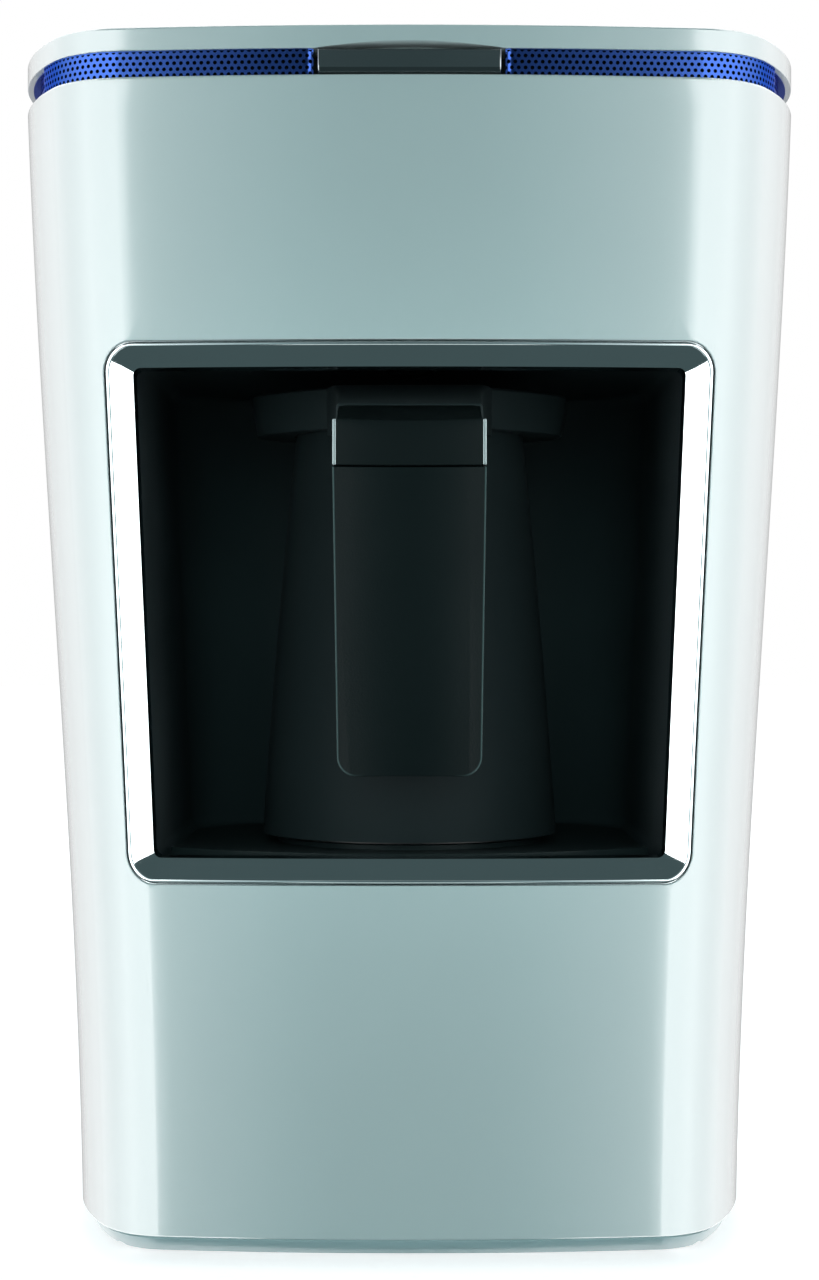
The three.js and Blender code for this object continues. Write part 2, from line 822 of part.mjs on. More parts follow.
// Foam sensor above the pot: lens through the ceiling, housing and board on top
const lens_drop = 1.4;
const lens_height = 3.6;
const sensor_radius = 11;
const sensor_height = 12;
const sensor_wall = 2;
const sensor_board_half = 13;
const liner_top = ceiling + cavity_wall;
function sensorLens() {
  const top = liner_top - gap;
  return turned(
    [
      [0, ceiling - lens_drop],
      [lens_radius / 2, ceiling - lens_drop],
      [lens_radius, ceiling],
      [lens_radius, top],
      [0, top],
    ],
    0,
    pot_axis_depth,
    small_steps,
  );
}
piece(machine, "sensor_lens", sensorLens(), black_gloss);
function sensorHousing() {
  const low = liner_top + gap;
  const inner = sensor_radius - sensor_wall;
  return cut(
    rod(0, pot_axis_depth, low, low + sensor_height, sensor_radius, small_steps),
    rod(0, pot_axis_depth, low - overrun, low + sensor_height - sensor_wall, inner, small_steps),
    rod(0, pot_axis_depth, low, low + sensor_height + overrun, inner / 2, small_steps),
  );
}
piece(machine, "sensor_housing", sensorHousing(), black);
const sensor_top = liner_top + gap + sensor_height;
piece(
  machine,
  "sensor_board",
  block(
    -sensor_board_half,
    sensor_board_half,
    pot_axis_depth - sensor_radius,
    pot_axis_depth + sensor_radius,
    sensor_top + gap,
    sensor_top + gap + board_thickness,
  ),
  board_green,
);

// Main board and its parts in the foot
function mainBoard() {
  const half = board_half_width;
  let board = block(-half, half, board_front, board_rear, board_bottom, board_top);
  for (const [x, y] of standoffs) {
    board = board.subtract(
      rod(x, y, board_bottom - overrun, board_top + overrun, peg_radius + gap, tiny_steps),
    );
  }
  return board;
}
piece(machine, "main_board", mainBoard(), board_green);

const part_margin = 6; // between the parts on a board
const transformer_size = [36, 30, 27];
const relay_size = [20, 15, 16];
const terminal_size = [30, 12, 13];
const capacitor_radius = 8;
const capacitor_height = 25;
const parts_left = -board_half_width + 2 * standoff_inset;
const parts_front = board_front + part_margin;
const on_board = board_top + gap;
function onBoard(x, y, [w, d, h]) {
  return block(x, x + w, y, y + d, on_board, on_board + h);
}
const core_height = 12;
const core_width = 4;
function transformer() {
  const [w, d, h] = transformer_size;
  const coil = onBoard(parts_left, parts_front, transformer_size);
  const z = on_board + h / 2;
  const core = block(
    parts_left - core_width,
    parts_left + w + core_width,
    parts_front + core_width,
    parts_front + d - core_width,
    z - core_height / 2,
    z + core_height / 2,
  );
  return coil.add(core);
}
piece(machine, "transformer", transformer(), yellow_tape);
const relay_x = parts_left + transformer_size[0] + core_width + part_margin;
piece(machine, "relay", onBoard(relay_x, parts_front, relay_size), component);
const capacitor_y = parts_front + transformer_size[1] + part_margin + capacitor_radius;
piece(
  machine,
  "capacitor",
  rod(
    parts_left + capacitor_radius,
    capacitor_y,
    on_board,
    on_board + capacitor_height,
    capacitor_radius,
    small_steps,
  ),
  component,
);
const terminal_y = board_rear - part_margin - terminal_size[1];
const way_radius = 2.1;
function terminalBlock() {
  const x = -terminal_size[0] / 2;
  let body = onBoard(x, terminal_y, terminal_size);
  for (let i = 0; i < 3; i++) {
    const wx = x + (terminal_size[0] * (i + 0.5)) / 3;
    const wz = on_board + terminal_size[2] / 2;
    const way_end = terminal_y + terminal_size[1];
    const way_start = way_end - terminal_size[1] / 2;
    body = body.subtract(rodBack(wx, wz, way_start, way_end + overrun, way_radius, tiny_steps));
  }
  return body;
}
piece(machine, "terminal_block", terminalBlock(), clear);

// Start button: bar in the band's gap with a bevelled lower edge, stem and two guide pegs
const button_bottom = casing_top + gap;
const button_top = lid_bottom - gap;
const button_bevel = 0.9;
const button_bevel_height = 0.95;
const stem_half_width = 2;
const stem_height = 2.4;
const stem_reach = 6.6; // from the bar back to the switch
const peg_half = 1.1;
const peg_reach = 5.4;
const peg_place = 12;
const guide_thickness = 2.4;
const guide_half_width = 22;
const button_rear = button_depth - button_proud;
const stem_rear = button_rear + stem_reach;
const press_z = (button_bottom + button_top) / 2 + gap;
const guide_front = button_rear + button_travel + run_gap + gap;

function buttonRod(x, half, height, reach) {
  const z = press_z;
  const [low, high] = [z - height / 2, z + height / 2];
  return block(x - half, x + half, button_rear - gap, button_rear + reach, low, high);
}
function startButton() {
  const bar = sideways(
    [
      [-button_proud, button_top],
      [-button_proud, button_bottom + button_bevel_height],
      [-button_proud + button_bevel, button_bottom],
      [button_rear, button_bottom],
      [button_rear, button_top],
    ],
    button_half_width,
  );
  return join(
    bar,
    buttonRod(0, stem_half_width, stem_height, stem_reach),
    buttonRod(-peg_place, peg_half, 2 * peg_half, peg_reach),
    buttonRod(peg_place, peg_half, 2 * peg_half, peg_reach),
  );
}
piece(button, "start_button", startButton(), dark_chrome);

// Guide behind the button, standing on the casing's shelf
function buttonGuide() {
  const low = button_bottom;
  const high = button_top;
  const far = guide_front + guide_thickness;
  const hole = (x, half, height) => {
    const w = half + gap;
    const h = height / 2 + gap;
    return block(x - w, x + w, guide_front - overrun, far + overrun, press_z - h, press_z + h);
  };
  const between = peg_place / 2;
  return cut(
    block(-guide_half_width, guide_half_width, guide_front, far, low, high),
    hole(0, stem_half_width, stem_height),
    hole(-peg_place, peg_half, 2 * peg_half),
    hole(peg_place, peg_half, 2 * peg_half),
    hole(between, peg_half, 2 * peg_half),
    hole(-between, peg_half, 2 * peg_half),
  );
}
piece(machine, "button_guide", buttonGuide(), black);

// Button board with switch, light guides and buzzer on the shelf
const button_board_half_width = 24;
const switch_depth = 4;
const switch_half_width = 3.2;
const plunger_radius = 1;
const plunger_length = 1.9;
const plunger_entry = 0.5; // plunger already inside the switch at rest
const button_board_front = stem_rear + button_travel + plunger_length;
const button_board_rear = shelf_depth - gap;
const on_button_board = button_bottom + board_thickness + gap;
const parts_top = lid_bottom - gap;
piece(
  machine,
  "button_board",
  block(
    -button_board_half_width,
    button_board_half_width,
    button_board_front,
    button_board_rear,
    button_bottom,
    button_bottom + board_thickness,
  ),
  board_green,
);
const plunger_front = stem_rear + gap;
const switch_front = plunger_front + plunger_length - plunger_entry;
piece(
  button,
  "switch_plunger",
  rodBack(0, press_z, plunger_front, plunger_front + plunger_length, plunger_radius, tiny_steps),
  red_silicone,
);
function tactSwitch() {
  const rear = switch_front + button_travel + plunger_entry + switch_depth;
  const half = switch_half_width;
  const body = block(-half, half, switch_front, rear, on_button_board, parts_top);
  const bore_end = switch_front + plunger_entry + button_travel + gap;
  return body.subtract(
    rodBack(0, press_z, switch_front - overrun, bore_end, plunger_radius + gap / 2, tiny_steps),
  );
}
piece(machine, "tact_switch", tactSwitch(), component);
const light_half = 1;
for (const [side, s] of sides) {
  const x = (s * peg_place) / 2;
  const front = guide_front + guide_thickness + gap;
  const rear = button_board_front + part_margin;
  const low = on_button_board;
  const guide = block(x - light_half, x + light_half, front, rear, low, low + 2 * light_half);
  piece(machine, "light_guide_" + side, guide, clear);
}
const buzzer_radius = 5;
const buzzer_x = peg_place + buzzer_radius / 2;
const buzzer_y = button_board_rear - buzzer_radius - gap;
piece(
  machine,
  "buzzer",
  rod(buzzer_x, buzzer_y, on_button_board, parts_top, buzzer_radius, small_steps),
  component,
);

// Pot: heights that follow from the cavity
const collar_top = mouth_top - pot_headroom;
const collar_bottom = collar_top - collar_height;
const body_foot = 0.5; // metal skirt above the base plate's underside
const rim_rise = 4.8; // metal wall inside the collar
const base_height = 12.4; // floor of the pot above its underside
const socket_half_width = 9.5;
const socket_height = 9.4;
const socket_depth = 22.4; // from the pot's axis back to the socket

function potRadius(z) {
  const t = (z - pot_bottom) / (collar_bottom - pot_bottom);
  const straight = pot_bottom_radius + (pot_top_radius - pot_bottom_radius) * t;
  return straight + pot_bulge * 4 * t * (1 - t);
}
const pot_floor = pot_bottom + base_height;
const socket_low = pot_bottom + (dock_axis_height - socket_height / 2);
const socket_high = socket_low + socket_height;

function potBody() {
  const rim = collar_bottom + rim_rise;
  const steps = 7;
  const low = pot_bottom + body_foot;
  const outer = [];
  const inner = [];
  for (let i = 0; i <= steps; i++) {
    const z = low + ((rim - low) * i) / steps;
    outer.push([potRadius(z), z]);
    const y = pot_floor + ((rim - pot_floor) * i) / steps;
    inner.push([potRadius(y) - pot_wall, y]);
  }
  const under = pot_floor - pot_wall;
  const profile = [
    [0, under],
    [potRadius(under) - pot_wall, under],
    [potRadius(low) - pot_wall, low],
    ...outer,
    ...inner.reverse(),
    [0, pot_floor],
  ];
  const w = socket_half_width + gap;
  const rear = pot_rear + overrun;
  return turned(profile, 0, pot_axis_depth).subtract(
    block(-w, w, pot_axis_depth + socket_depth, rear, pot_bottom - overrun, socket_high + gap),
  );
}
piece(pot, "pot_body", potBody(), dark_steel);

// Collar of the pot: a beak on each side, stepped bore, neck towards the handle
const beak_reach = 36.4;
const beak_reach_low = 34.8;
const collar_side = 29.4;
const collar_side_low = 28.4;
const collar_edge = 0.9;
const collar_bore = pot_top_radius - 0.7 * pot_wall;
const beak_power = 8;
const channel_radius = 5.5;
const channel_depth = 3.4;
const neck_tab_height = 14;
const neck_tab_thickness = 3.6;
const neck_foot = 9;
const neck_half_width = handle_half_width - gap;
const handle_front = -handle_proud;
const handle_rear = handle_front + handle_thickness;
const handle_top = collar_top - handle_drop;
const cap_bottom = handle_top - cap_height;
const collar_front = pot_axis_depth - collar_side;
const neck_slope = handle_drop / (collar_front - handle_front);
const topAt = (y) => handle_top + neck_slope * (y - handle_front);

function collarLoop(beak, side, z) {
  const points = [];
  for (let i = 0; i < round_steps; i++) {
    const a = (2 * Math.PI * i) / round_steps;
    const r = side + (beak - side) * Math.pow(Math.abs(Math.cos(a)), beak_power);
    points.push(new THREE.Vector3(r * Math.cos(a), pot_axis_depth + r * Math.sin(a), z));
  }
  return points;
}
function potCollar() {
  const rim = collar_bottom + rim_rise + gap;
  const seat = Math.max(potRadius(collar_bottom), pot_top_radius) + gap;
  const ring = loft(
    [
      collarLoop(beak_reach_low, collar_side_low, collar_bottom),
      collarLoop(beak_reach, collar_side, collar_top - collar_edge),
      collarLoop(beak_reach - collar_edge, collar_side - collar_edge, collar_top),
      collarLoop(collar_bore, collar_bore, collar_top),
      collarLoop(collar_bore, collar_bore, rim),
      collarLoop(seat, seat, rim),
      collarLoop(seat, seat, collar_bottom),
    ],
    true,
  );
  const neck_front = handle_rear + gap;
  const neck_end = collar_front + (collar_side - seat) / 2;
  const tab_rear = neck_front + neck_tab_thickness;
  const tab_low = cap_bottom - neck_tab_height;
  const neck = sideways(
    [
      [neck_front, topAt(neck_front)],
      [neck_front, tab_low],
      [tab_rear, tab_low],
      [tab_rear, cap_bottom],
      [collar_front - neck_foot / 3, collar_bottom],
      [neck_end, collar_bottom],
      [neck_end, collar_top],
      [collar_front, collar_top],
    ],
    neck_half_width,
  );
  let collar = ring.add(neck);
  for (const [, s] of sides) {
    const r = channel_radius;
    const channel = new THREE.CylinderGeometry(r, r, beak_reach, small_steps);
    channel.rotateZ(Math.PI / 2);
    const channel_x = collar_bore + beak_reach / 2 - collar_edge;
    const channel_z = collar_top + channel_radius - channel_depth;
    channel.translate(s * channel_x, pot_axis_depth, channel_z);
    collar = collar.subtract(solid(channel));
  }
  const screw_z = tab_low + neck_tab_height / 2;
  const hole_front = neck_front - overrun;
  const hole_rear = tab_rear + overrun;
  return collar.subtract(rodBack(0, screw_z, hole_front, hole_rear, screw_hole, tiny_steps));
}
piece(pot, "pot_collar", potCollar(), black);

// Heater under the pot's floor, seal, base plate and socket
const heater_radius = 22;
const heater_thickness = 2.2;
const element_radius = 16;
const element_tube = 1.8;
const plate_thickness = 1.6;
const plate_rim = 1.6;
const plate_rim_height = 5;
const skirtRadius = (z) => potRadius(z) - pot_wall;
const heater_top = pot_floor - pot_wall - gap;
const heater_low = heater_top - heater_thickness;
const socket_front = pot_axis_depth + socket_depth + gap;

function clearOfSocket(body) {
  const w = socket_half_width + gap;
  const high = socket_high + gap;
  const low = socket_low - gap;
  return body.subtract(block(-w, w, socket_front - gap, pot_rear + overrun, low, high));
}
function heaterDisc() {
  return rod(0, pot_axis_depth, heater_low, heater_top, heater_radius, 2 * small_steps);
}
piece(pot, "heater_disc", heaterDisc(), steel);
const element_z = heater_low - gap - element_tube;
const ring_steps = 2 * small_steps;
const ring_shape = new THREE.TorusGeometry(element_radius, element_tube, tiny_steps, ring_steps);
ring_shape.translate(0, pot_axis_depth, element_z);
piece(pot, "heater_element", clearOfSocket(solid(ring_shape)), steel);
function potBase() {
  const outer = skirtRadius(pot_bottom + body_foot) - 2 * gap;
  const top = pot_bottom + plate_thickness;
  const rim_top = pot_bottom + plate_rim_height;
  const body = turned(
    [
      [0, pot_bottom],
      [outer, pot_bottom],
      [outer, top],
      [skirtRadius(rim_top) - gap, top + gap],
      [skirtRadius(rim_top) - gap, rim_top],
      [skirtRadius(rim_top) - gap - plate_rim, rim_top],
      [skirtRadius(rim_top) - gap - plate_rim, top],
      [0, top],
    ],
    0,
    pot_axis_depth,
  );
  return clearOfSocket(body);
}
piece(pot, "pot_base", potBase(), black);
function potSeal() {
  const low = pot_bottom + plate_rim_height + gap;
  const outer = skirtRadius(low + plate_rim) - gap;
  return clearOfSocket(
    turned(
      [
        [outer - plate_rim, low],
        [outer, low],
        [outer, low + plate_rim],
        [outer - plate_rim, low + plate_rim],
        [outer - plate_rim, low],
      ],
      0,
      pot_axis_depth,
    ),
  );
}
piece(pot, "pot_seal", potSeal(), red_silicone);
function potSocket() {
  const w = socket_half_width;
  let socket = block(-w, w, socket_front, pot_rear + overrun, socket_low + gap, socket_high);
  const skirt = turned(
    [
      [0, socket_low],
      [potRadius(socket_low), socket_low],
      [potRadius(socket_high), socket_high],
      [0, socket_high],
    ],
    0,
    pot_axis_depth,
  );
  socket = socket.intersect(skirt);
  for (const [, s] of pins) {
    const end = pot_rear - pin_reach - gap;
    const x = s * pin_spacing;
    const far = pot_rear + overrun;
    socket = socket.subtract(rodBack(x, pin_z, end, far, pin_radius + gap, tiny_steps));
  }
  return socket;
}
piece(pot, "pot_socket", potSocket(), component);

// Handle: cap that carries on the neck's slope, bright side trims, grip round a core
const trim_thickness = 0.8;
const cap_half_width = handle_half_width - trim_thickness - gap;
const face_hollow = 1.4;
const grip_corner = 4;
const grip_narrowing = 0.4;
const grip_wall = 4;
const grip_front_wall = 5;
const grip_top = cap_bottom - gap;
const grip_bottom = grip_top - grip_height;

// Plan outline with a hollow front face
function hollowFace(half, rear) {
  const points = [];
  for (let i = 0; i <= 10; i++) {
    const t = -1 + (2 * i) / 10;
    points.push([half * t, handle_front + face_hollow * (1 - t * t)]);
  }
  points.push([half, rear - face_hollow], [half - face_hollow, rear]);
  points.push([-half + face_hollow, rear], [-half, rear - face_hollow]);
  return points;
}
function capOutline(half) {
  return sideways(
    [
      [handle_front - overrun, cap_bottom],
      [handle_rear + overrun, cap_bottom],
      [handle_rear + overrun, topAt(handle_rear + overrun)],
      [handle_front - overrun, topAt(handle_front - overrun)],
    ],
    half,
  );
}
const hollowBar = (half) => raised(hollowFace(half, handle_rear), grip_bottom, collar_top);
const handleCap = capOutline(2 * cap_half_width).intersect(hollowBar(cap_half_width));
piece(pot, "handle_cap", handleCap, black_gloss);
for (const [side, s] of sides) {
  const [a, b] = [handle_half_width - trim_thickness, handle_half_width];
  const [x0, x1] = [Math.min(s * a, s * b), Math.max(s * a, s * b)];
  const strip = block(x0, x1, handle_front, handle_rear, cap_bottom, topAt(handle_front));
  piece(pot, "handle_trim_" + side, strip, bright_trim);
}
function handleGrip() {
  const narrow = handle_half_width - grip_narrowing;
  const shape = new THREE.Shape();
  shape.moveTo(-handle_half_width, grip_top);
  const corner_z = grip_bottom + grip_corner;
  shape.lineTo(-narrow, corner_z);
  shape.absarc(-narrow + grip_corner, corner_z, grip_corner, Math.PI, 1.5 * Math.PI);
  shape.absarc(narrow - grip_corner, corner_z, grip_corner, 1.5 * Math.PI, 2 * Math.PI);
  shape.lineTo(handle_half_width, grip_top);
  const front = new THREE.ExtrudeGeometry(shape, {
    depth: handle_thickness + 2 * overrun,
    bevelEnabled: false,
    curveSegments: 5,
  });
  front.rotateX(Math.PI / 2).translate(0, handle_rear + overrun, 0);
  const outer = solid(front).intersect(hollowBar(handle_half_width));
  const half = handle_half_width - grip_wall;
  const slot = block(
    -half,
    half,
    handle_front + grip_front_wall,
    handle_rear + overrun,
    grip_bottom + grip_wall,
    grip_top + overrun,
  );
  return outer.subtract(slot);
}
piece(pot, "handle_grip", handleGrip(), rubber);

const core_top = cap_bottom - gap;
const handle_screw_z = cap_bottom - neck_tab_height / 2;
function handleCore() {
  const half = handle_half_width - grip_wall - gap;
  const front = handle_front + grip_front_wall + gap;
  const core = block(-half, half, front, handle_rear, grip_bottom + grip_wall + gap, core_top);
  const rear = handle_rear + overrun;
  return core.subtract(rodBack(0, handle_screw_z, front + gap, rear, screw_hole, tiny_steps));
}
piece(pot, "handle_core", handleCore(), black);
const tab_rear = handle_rear + gap + neck_tab_thickness;
const handle_screw_length = handle_thickness - grip_front_wall - 3 * gap;
function handleScrew() {
  const head = tab_rear + gap;
  const tip = handle_rear - handle_screw_length + gap;
  const z = handle_screw_z;
  return join(
    rodBack(0, z, head, head + screw_head_height, screw_head_radius, tiny_steps),
    rodBack(0, z, tip, head + gap, screw_radius, tiny_steps),
  );
}
piece(pot, "handle_screw", handleScrew(), steel);

// The origin lies on the floor, under the middle of the whole machine
root.position.set(0, -(depth + gland_reach - handle_proud) / 2, foot_height);

export default root;
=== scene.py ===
# Electric Turkish coffee maker with a pull-out pot: the looks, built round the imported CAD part.
# Profiles are written in millimetres: x from the middle, depth from the casing's front,
# height from the underside of the base pan.
import bisect
import math

import bmesh
import bpy
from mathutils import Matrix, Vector


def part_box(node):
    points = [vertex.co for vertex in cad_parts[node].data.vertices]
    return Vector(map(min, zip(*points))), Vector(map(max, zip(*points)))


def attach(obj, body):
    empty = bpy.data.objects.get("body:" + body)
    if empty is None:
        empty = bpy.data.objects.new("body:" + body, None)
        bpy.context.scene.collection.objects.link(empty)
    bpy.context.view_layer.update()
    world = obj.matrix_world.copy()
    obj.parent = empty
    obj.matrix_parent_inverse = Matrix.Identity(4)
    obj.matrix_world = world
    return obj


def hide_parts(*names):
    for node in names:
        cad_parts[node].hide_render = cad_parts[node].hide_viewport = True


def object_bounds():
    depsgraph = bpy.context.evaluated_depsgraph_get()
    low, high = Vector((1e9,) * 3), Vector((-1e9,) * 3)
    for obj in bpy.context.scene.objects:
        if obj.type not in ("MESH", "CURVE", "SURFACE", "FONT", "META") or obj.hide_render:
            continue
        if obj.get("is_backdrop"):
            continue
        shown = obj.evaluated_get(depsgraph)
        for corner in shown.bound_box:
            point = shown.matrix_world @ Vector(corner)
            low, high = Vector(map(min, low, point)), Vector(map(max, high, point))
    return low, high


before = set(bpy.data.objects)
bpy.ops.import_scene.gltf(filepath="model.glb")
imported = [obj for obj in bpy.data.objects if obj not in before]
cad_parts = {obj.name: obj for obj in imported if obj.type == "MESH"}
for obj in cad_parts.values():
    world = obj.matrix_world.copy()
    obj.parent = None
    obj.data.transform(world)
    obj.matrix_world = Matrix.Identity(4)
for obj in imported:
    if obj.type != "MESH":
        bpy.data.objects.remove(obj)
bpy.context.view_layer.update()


# Base pan: injection-moulded grey tray that closes the foot of the casing, held by four screws.
# A wide chamfer ends in a low lip. Air slots, screw wells and the feet's holes cross its floor.
casing_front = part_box("outer_casing")[0].y
pan_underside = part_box("base_pan")[0].z
plan_radii = [600, 19, 75, 455, 34]
front_half = 60
front_turn, rear_turn = math.asin(front_half / plan_radii[0]), math.pi / 14
plan_turns = [0, front_turn, math.pi / 3, math.pi / 2, math.pi / 2 + rear_turn, math.pi]
plan_steps = [16, 26, 16, 8, 20]
foot_width, widening = 0.856, 0.144
casing_foot, taper_height, casing_top = 2.7, 237.3, 240


def at(x, depth, height):
    """A point of the maker's own millimetres, in metres of the row frame."""
    return (x / 1000, casing_front + depth / 1000, pan_underside + height / 1000)


def middle_of(node):
    """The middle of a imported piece, in the maker's millimetres."""
    low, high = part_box(node)
    y, z = (low.y + high.y) / 2 - casing_front, (low.z + high.z) / 2 - pan_underside
    return (low.x + high.x) * 500, y * 1000, z * 1000


def width_share(height):
    """The taper: the width at a height as a share of the width at the top."""
    t = min(max((height - casing_foot) / taper_height, 0), 1)
    return foot_width + widening * (0.35 * t + 1.6 * t * t - 0.95 * t**3)


def plan_arcs():
    """The arcs of the outline's right half: centre, radius, and the turns where they start and end."""
    x, y, arcs = 0, plan_radii[0], []
    for i, radius in enumerate(plan_radii):
        if i:
            x += (plan_radii[i - 1] - radius) * math.sin(plan_turns[i])
            y -= (plan_radii[i - 1] - radius) * math.cos(plan_turns[i])
        arcs.append((x, y, radius, plan_turns[i], plan_turns[i + 1]))
    return arcs


def on_arc(x, y, radius, turn):
    """The point at a turn of an arc, counted from the front."""
    return x + radius * math.sin(turn), y - radius * math.cos(turn)


def plan(inset, height):
    """The casing's outline at a height, moved in by an inset."""
    half = []
    for (x, y, radius, start, end), steps in zip(plan_arcs(), plan_steps):
        for k in range(steps):
            a = start + (end - start) * k / steps
            half.append(on_arc(x, y, radius - inset, a))
    x, y, radius = plan_arcs()[-1][:3]
    half.append((x, y + radius - inset))
    other = [(-px, py) for px, py in half[:0:-1]]
    share = width_share(height)
    return [at(px * share, py, height) for px, py in half + other]


def ring(radius, steps):
    """Points round a circle, measured from its centre."""
    turns = [2 * math.pi * k / steps for k in range(steps)]
    return [(radius * math.cos(a), radius * math.sin(a)) for a in turns]


def disc(x, depth, radius, height, steps=48):
    """A level circle."""
    return [at(x + side, depth + back, height) for side, back in ring(radius, steps)]


def alone(piece):
    bpy.ops.object.select_all(action="DESELECT")
    piece.select_set(True)
    bpy.context.view_layer.objects.active = piece


def edit(piece):
    """Opens a piece for editing, with all of it selected."""
    alone(piece)
    bpy.ops.object.mode_set(mode="EDIT")
    bpy.ops.mesh.select_all(action="SELECT")


def drawn_out(name, loops, ends="filled"):
    """A circle laid on the first loop and extruded from loop to loop.
    Its ends are filled, or the last is welded to the first."""
    bpy.ops.mesh.primitive_circle_add(vertices=len(loops[0]), radius=0.01)
    piece = bpy.context.object
    piece.name = piece.data.name = name
    edit(piece)
    mesh = bmesh.from_edit_mesh(piece.data)
    turn = mesh.verts.layers.int.new("turn")
    for k, vertex in enumerate(mesh.verts):
        vertex[turn] = k
    for i, loop in enumerate(loops):
        if i:
            bpy.ops.mesh.extrude_edges_indiv()
            mesh = bmesh.from_edit_mesh(piece.data)
            turn = mesh.verts.layers.int["turn"]
        for vertex in mesh.verts:
            if vertex.select:
                vertex.co = loop[vertex[turn]]
        bmesh.update_edit_mesh(piece.data)
    bpy.ops.mesh.select_all(action="DESELECT")
    bpy.ops.mesh.select_mode(type="EDGE")
    if ends == "welded":
        bpy.ops.mesh.select_all(action="SELECT")
        bpy.ops.mesh.remove_doubles(threshold=1e-7)
    else:
        bpy.ops.mesh.select_non_manifold(
            extend=False, use_wire=False, use_multi_face=False, use_non_contiguous=False, use_verts=False
        )
        bpy.ops.mesh.fill_holes(sides=0)
    bpy.ops.mesh.select_mode(type="VERT")
    bpy.ops.mesh.select_all(action="SELECT")
    bpy.ops.mesh.normals_make_consistent(inside=False)
    mesh = bmesh.from_edit_mesh(piece.data)
    mesh.verts.layers.int.remove(mesh.verts.layers.int["turn"])
    bmesh.update_edit_mesh(piece.data)
    bpy.ops.object.mode_set(mode="OBJECT")
    return piece


def added(piece, kind):
    """A new modifier on a piece."""
    alone(piece)
    bpy.ops.object.modifier_add(type=kind)
    return piece.modifiers[-1]


def carve(piece, tool, way="DIFFERENCE"):
    """Cuts a tool out of a piece, or joins it on."""
    carving = added(piece, "BOOLEAN")
    carving.operation = way
    carving.solver = "EXACT"
    carving.object = tool
    bpy.ops.object.modifier_apply(modifier=carving.name)
    bpy.data.objects.remove(tool)


def bar(name, x0, x1, d0, d1, z0, z1):
    """A rectangular block between two corners."""
    corners = [(x0, d0), (x1, d0), (x1, d1), (x0, d1)]
    return drawn_out(name, [[at(x, d, z) for x, d in corners] for z in (z0, z1)])


def smooth(piece, degrees=32):
    """Shades a piece smoothly, except over edges sharper than this."""
    alone(piece)
    bpy.ops.object.shade_smooth_by_angle(angle=math.radians(degrees))


def between(tree, value, start, end, low=0, high=1):
    """A value carried over from the span start to end to the span low to high."""
    span = tree.nodes.new("ShaderNodeMapRange")
    ends = {"From Min": start, "From Max": end, "To Min": low, "To Max": high}
    for socket, number in ends.items():
        span.inputs[socket].default_value = number
    tree.links.new(value, span.inputs["Value"])
    return span.outputs["Result"]


def speckle_group():
    """Slow patches and fine grain, from the place on the piece."""
    group = bpy.data.node_groups.new("patches_and_grain", "ShaderNodeTree")
    group.interface.new_socket("Place", in_out="INPUT", socket_type="NodeSocketVector")
    for way, names in (("INPUT", ("Patch Scale", "Grain Scale")), ("OUTPUT", ("Patches", "Grain"))):
        for name in names:
            group.interface.new_socket(name, in_out=way, socket_type="NodeSocketFloat")
    start = group.nodes.new("NodeGroupInput")
    end = group.nodes.new("NodeGroupOutput")
    for scale, result, detail in (("Patch Scale", "Patches", 3), ("Grain Scale", "Grain", 2)):
        noise = group.nodes.new("ShaderNodeTexNoise")
        noise.inputs["Detail"].default_value = detail
        group.links.new(start.outputs["Place"], noise.inputs["Vector"])
        group.links.new(start.outputs[scale], noise.inputs["Scale"])
        group.links.new(noise.outputs["Fac"], end.inputs[result])
    return group


speckle = speckle_group()


def look(
    name, colour, rough, metal=0.0, patch=35, grain=900, relief=0.00002, vary=0.04, tint=0.05,
    shine=0.5, lacquer=0.0, edge=(1, 1, 1),
):
    """A finish: colour and gloss that wander a little over slow patches, and a fine grained relief."""
    finish = bpy.data.materials.new(name)
    finish.use_nodes = True
    nodes, links = finish.node_tree.nodes, finish.node_tree.links
    shader = nodes["Principled BSDF"]
    shader.inputs["Metallic"].default_value = metal
    shader.inputs["Specular IOR Level"].default_value = shine
    shader.inputs["Specular Tint"].default_value = (*edge, 1)
    shader.inputs["Coat Weight"].default_value = lacquer
    shader.inputs["Coat IOR"].default_value = 1.6
    shader.inputs["Coat Roughness"].default_value = 0.035
    place = nodes.new("ShaderNodeTexCoord")
    marks = nodes.new("ShaderNodeGroup")
    marks.node_tree = speckle
    marks.inputs["Patch Scale"].default_value = patch
    marks.inputs["Grain Scale"].default_value = grain
    links.new(place.outputs["Object"], marks.inputs["Place"])
    dull, bright = 0.15, 0.85
    smoothest, roughest = max(rough - vary, 0.02), min(rough + vary, 1)
    gloss = between(finish.node_tree, marks.outputs["Patches"], dull, bright, smoothest, roughest)
    links.new(gloss, shader.inputs["Roughness"])
    shade = nodes.new("ShaderNodeValToRGB")
    for stop, position, share in zip(shade.color_ramp.elements, (dull, bright), (1 - tint, 1 + tint)):
        stop.position = position
        stop.color = (*[min(c * share, 1) for c in colour], 1)
    links.new(marks.outputs["Patches"], shade.inputs["Fac"])
    links.new(shade.outputs["Color"], shader.inputs["Base Color"])
    bump = nodes.new("ShaderNodeBump")
    bump.inputs["Strength"].default_value = 0.6
    bump.inputs["Distance"].default_value = relief
    links.new(marks.outputs["Grain"], bump.inputs["Height"])
    links.new(bump.outputs["Normal"], shader.inputs["Normal"])
    return finish


def clothe(piece, finish):
    piece.data.materials.clear()
    piece.data.materials.append(finish)


